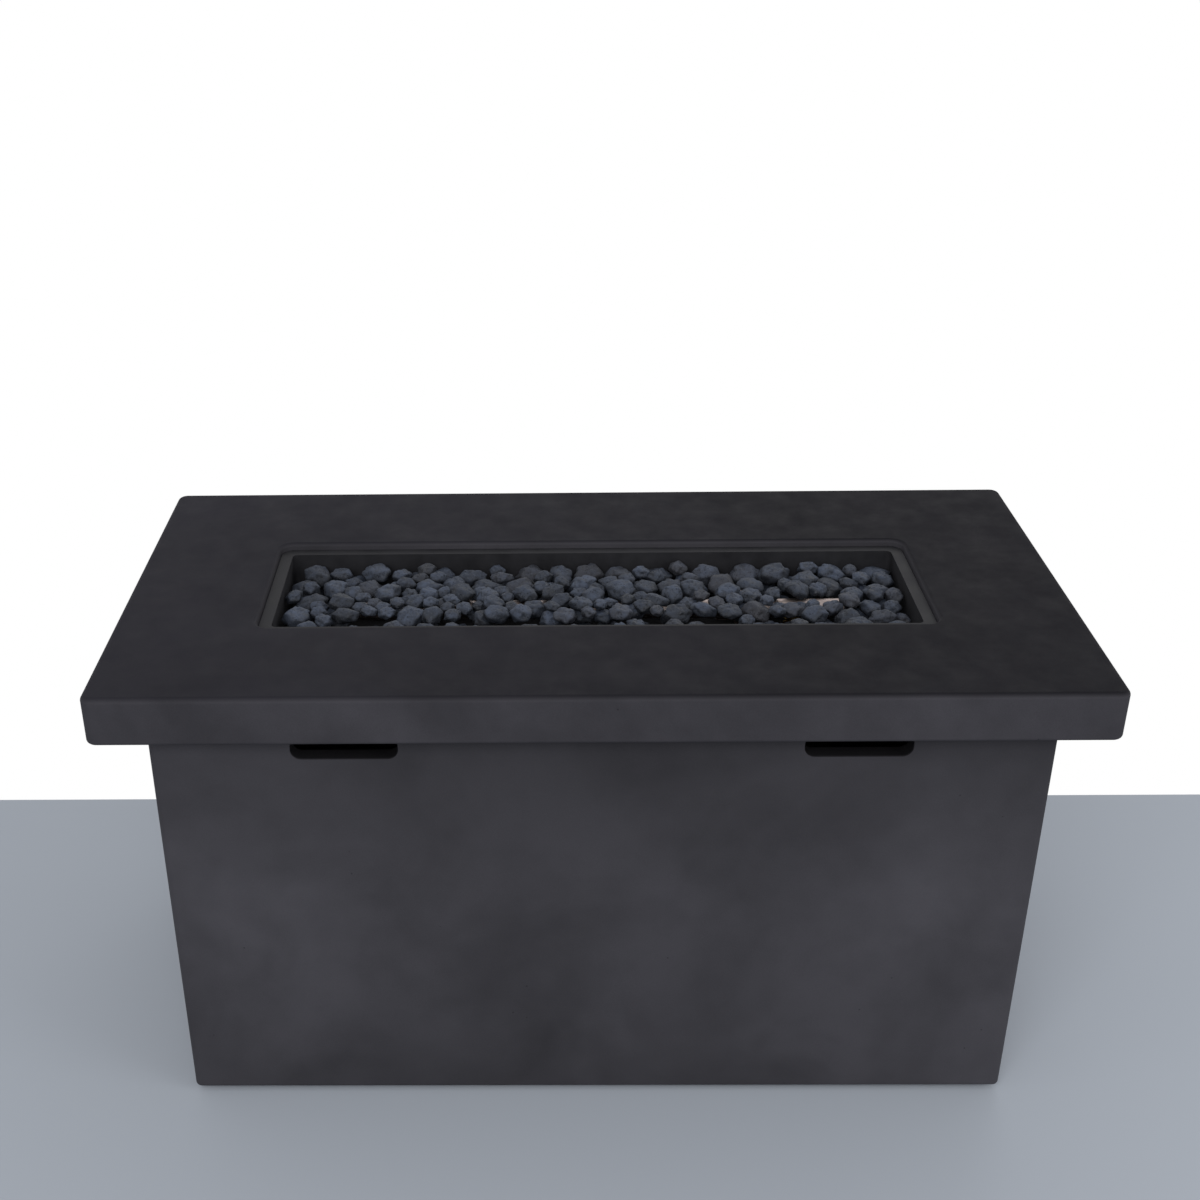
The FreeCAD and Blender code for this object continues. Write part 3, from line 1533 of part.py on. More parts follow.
def convex_burner():
    """The burner as a convex solid of twelve sides that holds the round tube."""
    half = burner_length / 2
    sides = 12
    step = 2 * math.pi / sides
    spread = burner_radius / math.cos(step / 2)
    corners = []
    for x in (-half, half):
        for side in range(sides):
            turn = step * (side + 0.5)
            corners.append((x, burner_offset + spread * math.cos(turn), burner_z + spread * math.sin(turn)))
    edges = [(side, (side + 1) % sides) for side in range(sides)]
    edges += [(i + sides, j + sides) for i, j in edges]
    edges += [(side, side + sides) for side in range(sides)]
    planes = [(1, 0, 0, half), (-1, 0, 0, half)]
    for side in range(sides):
        b, c = math.cos(step * side), math.sin(step * side)
        planes.append((0, b, c, b * burner_offset + c * burner_z + burner_radius))
    return {"corners": corners, "edges": edges, "planes": planes}


def stone_obstacles():
    """What stands in the pan among the stones."""
    items = [convex_burner()]
    reach = pilot_length / 2
    low = (pilot_x - reach, hood_front_y, pan_floor)
    items.append(convex_box(low, (pilot_x + reach, pilot_y + pilot_width / 2, pan_floor + pilot_height)))
    side = burner_radius + saddle_sheet
    half = saddle_length / 2
    for x in saddle_places():
        low = (x - half, burner_offset - side, pan_floor)
        items.append(convex_box(low, (x + half, burner_offset + side, burner_z)))
    half_x = nipple_collar / math.sqrt(3)
    half_y = nipple_collar / 2
    low = (inlet_x - half_x, burner_offset - half_y, pan_floor)
    high = (inlet_x + half_x, burner_offset + half_y, pan_floor + nipple_collar_height)
    items.append(convex_box(low, high))
    return items


def settled(stone, others, ceiling):
    """A stone lowered until it lies just clear of what is under it, or None where it would stand too high."""
    x0, x1, y0, y1, low, high = reach_of(stone)
    limit_x = pan_half_length - pan_sheet - stone_play
    limit_y = pan_half_width - pan_sheet - stone_play
    if x0 < -limit_x or x1 > limit_x or y0 < -limit_y or y1 > limit_y:
        return None
    drop = low - pan_floor - stone_play
    for other, extent in others:
        if extent[0] > x1 or extent[1] < x0 or extent[2] > y1 or extent[3] < y0 or extent[5] < low - drop:
            continue
        room = fall_room(stone, other)
        if room is not None:
            drop = min(drop, room - stone_play)
            if high - drop > ceiling:
                return None
    return lowered(stone, drop)


def layer_places(pitch, shift):
    """Places of one layer of stones, in staggered rows that fill the pan."""
    wall = pan_sheet + stone_play + pitch / 2
    span_x = 2 * (pan_half_length - wall)
    span_y = 2 * (pan_half_width - wall)
    rows = int(span_y / (pitch * 0.9)) + 1
    columns = int(span_x / pitch) + 1
    places = []
    for row in range(rows):
        late = (row + shift) % 2
        for column in range(columns - late):
            x = span_x * ((column + late / 2) / (columns - 1) - 0.5)
            places.append((x, span_y * (row / (rows - 1) - 0.5)))
    return places


def bed_height(x, y, others):
    """How high the stones and what stands among them reach at one point."""
    height = pan_floor
    for other, extent in others:
        if extent[0] < x < extent[1] and extent[2] < y < extent[3]:
            span = span_at(other, x, y)
            if span:
                height = max(height, span[1])
    return height


def bare_spots():
    """Places along the burner that no stone may hide."""
    spots = [place + side * bare_half_width for place in bare_places for side in (-1, 0, 1)]
    start, end = bare_stretch
    return spots + [start + (end - start) * step / bare_steps for step in range(bare_steps + 1)]


def sight_points(x):
    """Points on the burner at one place along it, from its top to its front."""
    points = []
    for degrees in sight_angles:
        turn = math.radians(degrees)
        y = burner_offset - burner_radius * math.sin(turn)
        points.append((x, y, burner_z + burner_radius * math.cos(turn)))
    return points


def hides(stone, point):
    """Whether a stone lies between a point and the eye of a viewer before the table."""
    depth = point[1] - eye_place[1]
    ahead = [(eye - own) / depth for eye, own in zip(eye_place, point)]
    near = 0.0
    far = sight_reach
    for a, b, c, level in stone["planes"]:
        rest = level - a * point[0] - b * point[1] - c * point[2]
        rate = a * ahead[0] + b * ahead[1] + c * ahead[2]
        if rate > 1e-9:
            far = min(far, rest / rate)
        elif rate < -1e-9:
            near = max(near, rest / rate)
        elif rest < 0:
            return False
    return near < far


def laid(chance, forms, spot, size, others, ceiling):
    """A chance stone settled at a spot, or None where it stands too high or hides a bare place."""
    stone = settled(placed_stone(chance, chance.choice(forms), spot, size), others, ceiling)
    if stone and any(hides(stone, sight_points(x)[0]) for x in bare_spots()):
        return None
    return stone


def lay_stones(chance, forms, places, size, ceiling, others, depth=0.0):
    """One layer: at each place the lowest of a few tries is kept, and a bed near its ceiling gets no more."""
    layer = []
    for x, y in places:
        if depth and bed_height(x, y, others) > ceiling - depth:
            continue
        best = None
        for attempt in range(stone_tries):
            spot = (x + chance.uniform(-1, 1) * size[1] * 0.2, y + chance.uniform(-1, 1) * size[1] * 0.2)
            stone = laid(chance, forms, spot, size, others, ceiling)
            if stone and (best is None or reach_of(stone)[4] < reach_of(best)[4]):
                best = stone
        if best:
            others.append((best, reach_of(best)))
            layer.append(best)
    return layer


def cover_burner(chance, forms, others, stones):
    """Stones over and before the burner, wherever its top or its front still shows and is not to be bare."""
    covers = []
    steps = int(burner_length / cover_pitch)
    for number in range(steps + 1):
        x = (number - steps / 2) * cover_pitch
        is_bare = any(abs(x - spot) < cover_pitch / 2 for spot in bare_spots())
        for row, point in reversed(list(zip(cover_rows, sight_points(x)))[is_bare:]):
            if any(hides(stone, point) for stone in stones + covers):
                continue
            for attempt in range(cover_tries):
                size = cover_sizes[attempt * len(cover_sizes) // cover_tries]
                spot = (
                    x + chance.uniform(-1, 1) * cover_pitch,
                    burner_offset + row + chance.uniform(-1, 1) * cover_spread,
                )
                stone = laid(chance, forms, spot, size, others, cover_ceiling)
                if stone and hides(stone, point):
                    others.append((stone, reach_of(stone)))
                    covers.append(stone)
                    break
    return covers


def make_stones():
    """Large stones on the pan's floor, those that hide the burner, more over them, and fillers."""
    chance = random.Random(stone_seed)
    forms = [stone_form(chance) for number in range(stone_forms)]
    others = [(item, reach_of(item)) for item in stone_obstacles()]
    pitch = (stone_sizes[0][0] + stone_sizes[0][1]) / 2 * stone_spread
    lowest = lay_stones(chance, forms, layer_places(pitch, 0), stone_sizes[0], stone_ceiling, others)
    layers = [lowest, cover_burner(chance, forms, others, lowest)]
    for number, size in enumerate(stone_sizes[1:]):
        pitch = (size[0] + size[1]) / 2 * stone_spread
        layers.append(lay_stones(chance, forms, layer_places(pitch, number + 1), size, stone_ceiling, others))
    fillers = layer_places(filler_pitch, 0)
    layers.append(lay_stones(chance, forms, fillers, filler_size, stone_ceiling, others, filler_depth))
    layers.append(cover_burner(chance, forms, others, [stone for layer in layers for stone in layer]))
    print("stones", [len(layer) for layer in layers])
    lower = [stone_solid(stone) for stone in layers[0]]
    upper = [stone_solid(stone) for layer in layers[1:] for stone in layer]
    return lower, upper


def make_parts():
    """Every node's name with its shape."""
    parts = {
        "tabletop": make_tabletop(),
        "body_shell": make_body_shell(),
        "top_brackets": make_top_brackets(),
        "wall_screws": make_wall_screws(),
        "threaded_inserts": make_threaded_inserts(),
        "corner_plates": make_corner_plates(),
        "foot_lock_nuts": make_foot_lock_nuts(),
        "floor_shelf": make_floor_shelf(),
        "cylinder_ring": make_cylinder_ring(),
        "door_frame": make_door_frame(),
        "magnet_catch": make_magnet_catch(),
        "hinge_fixed_leaves": group([make_hinge_leaf(z, False) for z in hinge_heights()]),
        "hinge_pins": make_hinge_pins(),
        "frame_screws": make_frame_screws(),
        "door_panel": make_door_panel(),
        "hinge_moving_leaves": group([make_hinge_leaf(z, True) for z in hinge_heights()]),
        "strike_plate": make_strike_plate(),
        "door_pull": make_door_pull(),
        "door_screws": make_door_screws(),
        "control_plate": make_control_plate(),
        "control_bezel": make_control_bezel(),
        "valve_body": make_valve_body(),
        "valve_inlet_fitting": make_valve_inlet(),
        "valve_outlet_fitting": make_valve_outlet(),
        "valve_neck_nut": make_knob_nut(),
        "valve_plug": make_valve_plug(),
        "valve_stem": make_valve_stem(),
        "control_knob": make_control_knob(),
        "igniter_body": make_igniter_body(),
        "igniter_nut": make_igniter_nut(),
        "igniter_cap": make_igniter_cap(),
        "igniter_battery": make_battery(),
        "igniter_spring": make_igniter_spring(),
        "burner_pan": make_burner_pan(),
        "burner_tube": make_burner_tube(),
        "burner_saddles": make_burner_saddles(),
        "inlet_nipple": make_inlet_nipple(),
        "inlet_lock_nut": make_inlet_nut(),
        "air_mixer": make_air_mixer(),
        "orifice_elbow": make_orifice_elbow(),
        "pilot_hood": make_pilot_hood(),
        "spark_electrode": make_probe(probe_places()[0], electrode_radius),
        "thermocouple": make_probe(probe_places()[1], thermocouple_radius),
        "heat_shield": make_heat_shield(),
        "shield_spacers": make_shield_spacers(),
        "shield_screws": make_shield_screws(),
        "gas_line": make_gas_line(),
        "igniter_lead": make_igniter_lead(),
        "thermocouple_lead": make_thermocouple_lead(),
    }
    for side in ("front", "rear", "left", "right"):
        parts["base_rail_" + side] = make_base_rail(side)
    names = ("front_left", "front_right", "rear_left", "rear_right")
    for name, (x, y) in zip(names, four_corners(foot_x, foot_y)):
        parts["levelling_foot_" + name] = make_levelling_foot(x, y)
    lower, upper = make_stones()
    parts["lava_stones_lower"] = group(lower)
    parts["lava_stones_upper"] = group(upper)
    return parts


os.makedirs("parts", exist_ok=True)
for name, shape in make_parts().items():
    print(name, len(shape.Solids), "solids, valid", shape.isValid(), "volume", round(shape.Volume))
    shape.exportStep("parts/" + name + ".step")
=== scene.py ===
import json
import math

import bmesh
import bpy
import numpy as np
from mathutils import Matrix, Vector, noise


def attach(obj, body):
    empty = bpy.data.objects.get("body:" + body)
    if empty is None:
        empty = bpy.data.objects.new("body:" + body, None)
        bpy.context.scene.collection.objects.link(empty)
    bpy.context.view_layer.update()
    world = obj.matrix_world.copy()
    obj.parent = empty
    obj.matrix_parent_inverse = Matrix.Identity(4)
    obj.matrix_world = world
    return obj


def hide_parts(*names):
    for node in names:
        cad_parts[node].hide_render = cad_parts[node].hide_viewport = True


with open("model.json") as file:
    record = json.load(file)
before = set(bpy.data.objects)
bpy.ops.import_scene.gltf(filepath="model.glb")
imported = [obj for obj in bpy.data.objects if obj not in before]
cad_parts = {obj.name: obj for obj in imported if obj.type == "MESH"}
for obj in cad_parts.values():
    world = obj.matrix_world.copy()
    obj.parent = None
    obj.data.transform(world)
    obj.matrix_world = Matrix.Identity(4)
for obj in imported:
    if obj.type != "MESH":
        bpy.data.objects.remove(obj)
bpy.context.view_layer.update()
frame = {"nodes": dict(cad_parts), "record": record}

# Camera, fitted to the straight edges of the table in the photograph: metres, radians, millimetres of lens
CAMERA_PLACE = (-0.0749, -1.8840, 1.5560)
CAMERA_PITCH = 0.4909
CAMERA_YAW = 0.0186
CAMERA_ROLL = -0.0150
CAMERA_LENS = 47.48
CAMERA_SENSOR = 36.0
CAMERA_SHIFT = (0.0737, 0.0324)

# Stage: the floor ends behind the table where the photograph's floor ends
FLOOR_BACK = 0.436
FLOOR_SIDE = 6.0
FLOOR_LEVEL = -0.0005
FLOOR_COLOUR = (0.40, 0.435, 0.49)

# Strength of the world as a light, and as a background that is seen
WORLD_LIGHT = 0.55
WORLD_SEEN = 1.0

# Place, aim, size and watts of each lamp
LAMPS = {
    "front_box": ((-0.7, -3.2, 2.7), (0, 0, 0.3), (2.6, 1.8), 72),
    "right_box": ((2.6, -1.6, 1.6), (0.3, 0, 0.4), (1.6, 1.6), 18),
    "rear_box": ((0.8, 3.0, 2.6), (0, 0, 0.4), (3.0, 1.6), 22),
}

# Lava stones. The higher the rounding, the closer a stone keeps to the flat faces of its solid
STONE_ROUNDING = 55.0
STONE_GROWTH = 1.08
STONE_SEED = 5
HOLLOW_SCALE = 2.2
HOLLOW_DEPTH = 0.2
HOLLOW_RANGE = (-0.8, 0.1)

# Tint of the casting's grey: red and green, then blue, and the blue of the slab's top face
CONCRETE_TINT = (0.97, 0.94)
CONCRETE_BLUE = 1.09
TOP_BLUE = 1.2

# How the castings darken and pale, mostly as painted light and shade: a coordinate's range in metres, and
# the level at either end of it
# Painted light on the slab's top face: paler at the left, darker towards the right
TOP_PAINTED_LIGHT = (-0.6, 0.3, 1.9, 0.85)
FOOT_FADE = (0.02, 0.3, 0.84, 1.0)
# Painted shadow on the body under the slab
UNDER_SLAB_PAINTED_SHADOW = (0.34, 0.57, 1.0, 0.68)
# Painted light on the body: paler towards its ends
END_PAINTED_LIGHT = (0.15, 0.5, 0.92, 1.16)
FOOT_WANDER = 0.5

# Painted shade on the walls of the slots: within this X and this Y of the middle, above this Z, and how dark
# the painted shade makes them
SLOT_REACH = (0.40, 0.41)
SLOT_DEPTH = (0.2735, 0.2765)
SLOT_BOTTOM = (0.512, 0.518)
SLOT_PAINTED_SHADE = 0.25

# Pores of the casting: cells per metre, the radius that fades out, and the share of cells without a pore
PORE_SCALE = 55.0
PORE_EDGE = (0.05, 0.085)
PORE_CHOICE = (0.9, 0.92)
# The strength and colour of the painted shade in the pores, which are real pits in the relief
PORE_STRENGTH = 0.45
PORE_PAINTED_SHADE = (0.008, 0.008, 0.009)

# The Z of a normal that counts as facing up, and the middle of a noise where most of its values lie
FACING_UP = (0.3, 0.95)
NOISE_SPAN = (0.3, 0.7)


# Materials

def start_material(name):
    made = bpy.data.materials.new(name)
    made.use_nodes = True
    return made, made.node_tree, made.node_tree.nodes["Principled BSDF"]


def add(tree, kind, inputs, **settings):
    """A node whose sockets are values or links from other sockets."""
    node = tree.nodes.new(kind)
    for key, value in settings.items():
        setattr(node, key, value)
    for key, value in inputs.items():
        if isinstance(value, bpy.types.NodeSocket):
            tree.links.new(value, node.inputs[key])
        else:
            node.inputs[key].default_value = value
    return node


def place(tree, stretch=(1, 1, 1)):
    """The point on the object in metres, stretched along the axes."""
    where = add(tree, "ShaderNodeTexCoord", {})
    return add(tree, "ShaderNodeMapping", {"Vector": where.outputs["Object"], "Scale": stretch}).outputs[0]


def along(tree, vector, axis):
    return add(tree, "ShaderNodeSeparateXYZ", {"Vector": vector}).outputs[axis]


def upness(tree):
    """The Z of the object's own normal: 1 on a face that looks straight up."""
    return along(tree, add(tree, "ShaderNodeTexCoord", {}).outputs["Normal"], "Z")


def channels(tree, colour):
    return add(tree, "ShaderNodeSeparateColor", {"Color": colour}).outputs


def cloud(tree, at, scale, detail=4, rough=0.55, distortion=0.0):
    inputs = {"Vector": at, "Scale": scale, "Detail": detail, "Roughness": rough, "Distortion": distortion}
    return add(tree, "ShaderNodeTexNoise", inputs).outputs["Fac"]


def spread(tree, value, low, high, to_low=0.0, to_high=1.0):
    """A value carried from one range to another and held there."""
    inputs = {"Value": value, "From Min": low, "From Max": high, "To Min": to_low, "To Max": to_high}
    return add(tree, "ShaderNodeMapRange", inputs).outputs[0]


def blended(tree, share, first, second, kind="MIX"):
    node = add(tree, "ShaderNodeMix", {}, data_type="RGBA", blend_type=kind)
    for key, value in (("Factor", share), ("A", first), ("B", second)):
        socket = [s for s in node.inputs if s.name == key and s.enabled][0]
        if isinstance(value, bpy.types.NodeSocket):
            tree.links.new(value, socket)
        else:
            socket.default_value = (*value, 1) if isinstance(value, tuple) else value
    return [s for s in node.outputs if s.enabled][0]


def maths(tree, operation, first, second=0.0):
    node = add(tree, "ShaderNodeMath", {}, operation=operation)
    for socket, value in zip(node.inputs, (first, second)):
        if isinstance(value, bpy.types.NodeSocket):
            tree.links.new(value, socket)
        else:
            socket.default_value = value
    return node.outputs[0]


def product(tree, first, *others):
    for other in others:
        first = maths(tree, "MULTIPLY", first, other)
    return first


def weighted(tree, first, first_share, second, second_share):
    """The sum of two values, each multiplied by its share."""
    return maths(tree, "ADD", product(tree, first, first_share), product(tree, second, second_share))


def bumped(tree, shader, height, strength, distance):
    inputs = {"Height": height, "Strength": strength, "Distance": distance}
    tree.links.new(add(tree, "ShaderNodeBump", inputs).outputs[0], shader.inputs["Normal"])


def dimmed(tree, colour, level):
    """A colour made darker or paler by a level."""
    grey = add(tree, "ShaderNodeCombineColor", {"Red": level, "Green": level, "Blue": level}).outputs[0]
    return blended(tree, 1.0, colour, grey, "MULTIPLY")


def shade(value, blue=CONCRETE_BLUE):
    """A linear grey-blue of the casting from one level."""
    return (value * CONCRETE_TINT[0], value * CONCRETE_TINT[1], value * blue)


def slot_shade_mask(tree, at, height):
    """Where the slots' painted shade goes: 1 on the walls of the slots, inside the front and rear walls of
    the body, and 0 on the outer faces.
    """
    sideways = spread(tree, maths(tree, "ABSOLUTE", along(tree, at, "X")), *SLOT_REACH, 1, 0)
    deep = spread(tree, maths(tree, "ABSOLUTE", along(tree, at, "Y")), *SLOT_DEPTH, 1, 0)
    return product(tree, sideways, deep, spread(tree, height, *SLOT_BOTTOM))


def body_shades(tree, at, wide, colour):
    """The body is darker at its foot, has a painted shadow under the slab, painted light that makes it paler
    towards its ends, and painted shade in the slots.
    """
    height = along(tree, at, "Z")
    wandering = maths(tree, "ADD", height, product(tree, maths(tree, "SUBTRACT", wide, 0.5), FOOT_WANDER))
    foot = spread(tree, wandering, *FOOT_FADE)
    # Painted shadow under the slab
    slab_shadow = spread(tree, height, *UNDER_SLAB_PAINTED_SHADOW)
    # Painted light that makes the body paler towards its ends
    ends = spread(tree, maths(tree, "ABSOLUTE", along(tree, at, "X")), *END_PAINTED_LIGHT)
    # Painted shade in the slots
    slots = spread(tree, slot_shade_mask(tree, at, height), 0, 1, 1, SLOT_PAINTED_SHADE)
    return dimmed(tree, colour, product(tree, foot, slab_shadow, ends, slots))


def slab_shades(tree, at, clouds, colour, upward):
    """The slab's top face has darker levels of its own as painted shade, is bluer, and has painted light
    that makes it paler at the left and darker towards the right.
    """
    # Painted shade: the top face gets darker levels than the sides of the same casting
    top = blended(tree, clouds, shade(upward[0], TOP_BLUE), shade(upward[1], TOP_BLUE))
    # Painted light across the top face, fading from left to right
    top = dimmed(tree, top, spread(tree, along(tree, at, "X"), *TOP_PAINTED_LIGHT))
    return blended(tree, spread(tree, upness(tree), *FACING_UP), colour, top)


def pores(tree, at):
    """1 in a few small round pores, and 0 elsewhere."""
    cells = add(tree, "ShaderNodeTexVoronoi", {"Vector": at, "Scale": PORE_SCALE, "Randomness": 1.0})
    hole = spread(tree, cells.outputs["Distance"], *PORE_EDGE, 1, 0)
    return product(tree, hole, spread(tree, channels(tree, cells.outputs["Color"])[0], *PORE_CHOICE))


def concrete(name, levels, upward, blotch, gloss):
    """Sealed cast concrete: soft clouds as wide as blotch in millimetres, fine sand and a few pores.

    upward holds the two levels of a top face, darker than the sides as painted shade, or is None for the
    body, which shows none.
    """
    made, tree, shader = start_material(name)
    at = place(tree)
    wide = cloud(tree, at, 1000 / blotch, 3, 0.5, 0.6)
    small = cloud(tree, at, 26, 5, 0.6)
    sand = cloud(tree, at, 900, 2, 0.6)
    clouds = spread(tree, weighted(tree, wide, 0.75, small, 0.25), 0.36, 0.64)
    colour = blended(tree, clouds, shade(levels[0]), shade(levels[1]))
    if upward:
        colour = slab_shades(tree, at, clouds, colour, upward)
    else:
        colour = body_shades(tree, at, wide, colour)
    colour = dimmed(tree, colour, spread(tree, sand, *NOISE_SPAN, 0.93, 1.07))
    pore = pores(tree, at)
    # Painted shade in the pores
    colour = blended(tree, product(tree, pore, PORE_STRENGTH), colour, PORE_PAINTED_SHADE)
    tree.links.new(colour, shader.inputs["Base Color"])
    tree.links.new(spread(tree, small, *NOISE_SPAN, 0.6, 0.78), shader.inputs["Roughness"])
    shader.inputs["Specular IOR Level"].default_value = gloss
    relief = maths(tree, "SUBTRACT", weighted(tree, small, 0.6, sand, 0.25), pore)
    bumped(tree, shader, relief, 0.35, 0.0006)
    return made


def finish(name, dark, light, metallic, roughness, scale=60.0, stretch=(1, 1, 1),
           bump=(300.0, 0.15, 0.0002), level=0.5):
    """A worked surface: two shades in a pattern, roughness that follows it, and a fine relief.

    bump holds the relief's scale, strength and depth in metres, and level is the specular level.
    """
    made, tree, shader = start_material(name)
    at = place(tree, stretch)
    pattern = cloud(tree, at, scale, 5, 0.6)
    colour = blended(tree, spread(tree, pattern, 0.32, 0.68), dark, light)
    tree.links.new(colour, shader.inputs["Base Color"])
    tree.links.new(spread(tree, pattern, *NOISE_SPAN, *roughness), shader.inputs["Roughness"])
    shader.inputs["Metallic"].default_value = metallic
    shader.inputs["Specular IOR Level"].default_value = level
    bumped(tree, shader, cloud(tree, at, bump[0], 3, 0.6), bump[1], bump[2])
    return made


def spangled(name, dark, light, roughness, scale):
    """Zinc plating: flakes that differ a little in shade and roughness."""
    made, tree, shader = start_material(name)
    at = place(tree)
    cells = add(tree, "ShaderNodeTexVoronoi", {"Vector": at, "Scale": scale})
    flake = channels(tree, cells.outputs["Color"])[0]
    mixed = weighted(tree, flake, 0.4, cloud(tree, at, 25, 4, 0.6), 0.6)
    tree.links.new(blended(tree, mixed, dark, light), shader.inputs["Base Color"])
    tree.links.new(spread(tree, mixed, 0.2, 0.8, *roughness), shader.inputs["Roughness"])
    shader.inputs["Metallic"].default_value = 1.0
    bumped(tree, shader, cloud(tree, at, 400, 2, 0.5), 0.12, 0.0002)
    return made


def braided(name):
    """A metal hose: slanted strands that cross, from two sets of fine bands."""
    made, tree, shader = start_material(name)
    at = place(tree)
    bands = []
    for turn in (0.7, -0.7):
        mapped = add(tree, "ShaderNodeMapping", {"Vector": at, "Rotation": (turn, turn, 0)}).outputs[0]
        inputs = {"Vector": mapped, "Scale": 260.0, "Distortion": 0.4, "Detail": 1.0}
        bands.append(add(tree, "ShaderNodeTexWave", inputs, bands_direction="Y").outputs["Fac"])
    weave = product(tree, *bands)
    colour = blended(tree, spread(tree, weave, 0.0, 0.6), (0.12, 0.12, 0.125), (0.62, 0.62, 0.64))
    tree.links.new(colour, shader.inputs["Base Color"])
    tree.links.new(spread(tree, weave, 0.0, 0.8, 0.5, 0.28), shader.inputs["Roughness"])
    shader.inputs["Metallic"].default_value = 1.0
    bumped(tree, shader, weave, 0.6, 0.0006)
    return made


def lava(name):
    """Tumbled lava rock: blue-grey, with painted light on the tops and painted shade underneath, dust
    specks, and small pits darkened with painted shade.

    The colour attribute "tone" makes each stone a little paler or darker, and a few of them warmer.
    """
    made, tree, shader = start_material(name)
    at = place(tree)
    own = add(tree, "ShaderNodeAttribute", {}, attribute_name="tone")
    tone = channels(tree, own.outputs["Color"])
    patch = cloud(tree, at, 70, 5, 0.65)
    speck = cloud(tree, at, 420, 3, 0.6)
    cells = add(tree, "ShaderNodeTexVoronoi", {"Vector": at, "Scale": 260.0, "Randomness": 1.0})
    pit = spread(tree, cells.outputs["Distance"], 0.12, 0.32, 1.0, 0.0)
    colour = blended(tree, spread(tree, patch, 0.34, 0.66), (0.0090, 0.0120, 0.0195), (0.034, 0.043, 0.065))
    # Painted light on the tops of the stones and painted shade on their undersides
    painted_top_light = spread(tree, upness(tree), 0.15, 0.95, 0.45, 1.3)
    colour = dimmed(tree, colour, product(tree, spread(tree, tone[0], 0.0, 1.0, 0.6, 1.45), painted_top_light))
    warm = spread(tree, tone[1], 0.8, 1.0, 0.0, 0.35)
    colour = blended(tree, warm, colour, (0.038, 0.035, 0.039))
    dust = product(tree, spread(tree, speck, 0.55, 0.75), 0.35)
    colour = blended(tree, dust, colour, (0.10, 0.11, 0.13))
    # Painted shade in the pits, which are also real hollows in the relief
    colour = blended(tree, product(tree, pit, 0.6), colour, (0.006, 0.006, 0.008))
    tree.links.new(colour, shader.inputs["Base Color"])
    tree.links.new(spread(tree, patch, *NOISE_SPAN, 0.55, 0.85), shader.inputs["Roughness"])
    shader.inputs["Specular IOR Level"].default_value = 0.35
    relief = maths(tree, "SUBTRACT", weighted(tree, patch, 0.8, speck, 0.25), product(tree, pit, 0.5))
    bumped(tree, shader, relief, 0.7, 0.0022)
    return made


def plain_stage(name, colour):
    made, _, shader = start_material(name)
    shader.inputs["Base Color"].default_value = (*colour, 1)
    shader.inputs["Roughness"].default_value = 0.8
    shader.inputs["Specular IOR Level"].default_value = 0.2
    return made


FINISHES = {
    "slab_concrete": concrete("slab_concrete", (0.037, 0.055), (0.0100, 0.0130), 190, 0.05),
    "body_concrete": concrete("body_concrete", (0.040, 0.058), None, 230, 0.12),
    "zinc_steel": spangled("zinc_steel", (0.36, 0.37, 0.39), (0.62, 0.63, 0.65), (0.3, 0.5), 160),
    "screw_steel": finish("screw_steel", (0.42, 0.42, 0.43), (0.66, 0.66, 0.67), 1.0, (0.2, 0.38), 200),
    "stainless": finish(
        "stainless", (0.40, 0.40, 0.41), (0.60, 0.60, 0.61), 1.0, (0.24, 0.42), 30, (2, 1, 24)
    ),
    "pan_steel": finish(
        "pan_steel", (0.013, 0.013, 0.015), (0.022, 0.022, 0.025), 0.0, (0.55, 0.7), 30,
        bump=(900.0, 0.2, 0.0002), level=0.12,
    ),
    "burner_steel": finish(
        "burner_steel", (0.14, 0.11, 0.10), (0.36, 0.31, 0.30), 1.0, (0.34, 0.55), 35, (1, 4, 4)
    ),
    "brass": finish("brass", (0.50, 0.34, 0.13), (0.78, 0.60, 0.29), 1.0, (0.22, 0.42), 120),
    "copper": finish("copper", (0.50, 0.24, 0.15), (0.78, 0.44, 0.30), 1.0, (0.25, 0.45), 140),
    "black_paint": finish(
        "black_paint", (0.020, 0.020, 0.022), (0.034, 0.034, 0.037), 0.0, (0.42, 0.6), 40,
        bump=(1400.0, 0.5, 0.0003),
    ),
    "black_plastic": finish(
        "black_plastic", (0.014, 0.014, 0.015), (0.026, 0.026, 0.028), 0.0, (0.38, 0.55), 80,
        bump=(1800.0, 0.3, 0.0002),
    ),
    "foot_plastic": finish(
        "foot_plastic", (0.018, 0.018, 0.019), (0.034, 0.034, 0.035), 0.0, (0.45, 0.65), 90,
        bump=(1500.0, 0.3, 0.0002),
    ),
    "lead_sleeve": finish(
        "lead_sleeve", (0.30, 0.025, 0.020), (0.48, 0.055, 0.045), 0.0, (0.4, 0.6), 90,
        bump=(900.0, 0.2, 0.0002),
    ),
    "battery_can": finish("battery_can", (0.16, 0.17, 0.19), (0.30, 0.31, 0.34), 0.3, (0.3, 0.5), 90),
    "white_ceramic": finish(
        "white_ceramic", (0.72, 0.69, 0.62), (0.88, 0.86, 0.80), 0.0, (0.12, 0.3), 160,
        bump=(500.0, 0.1, 0.0002),
    ),
    "braided_steel": braided("braided_steel"),
    "lava_stone": lava("lava_stone"),
}

for entry in frame["record"]["subparts"]:
    for slot in frame["nodes"][entry["node"]].material_slots:
        slot.material = FINISHES[entry["material_slot"]]


# Lava stones: each CAD solid becomes a rounded, pitted stone in the same place

def ball(steps):
    """Points and triangles of an even ball."""
    work = bmesh.new()
    bmesh.ops.create_icosphere(work, subdivisions=steps, radius=1.0)
    points = np.array([v.co[:] for v in work.verts])
    faces = np.array([[v.index for v in f.verts] for f in work.faces])
    work.free()
    return points, faces


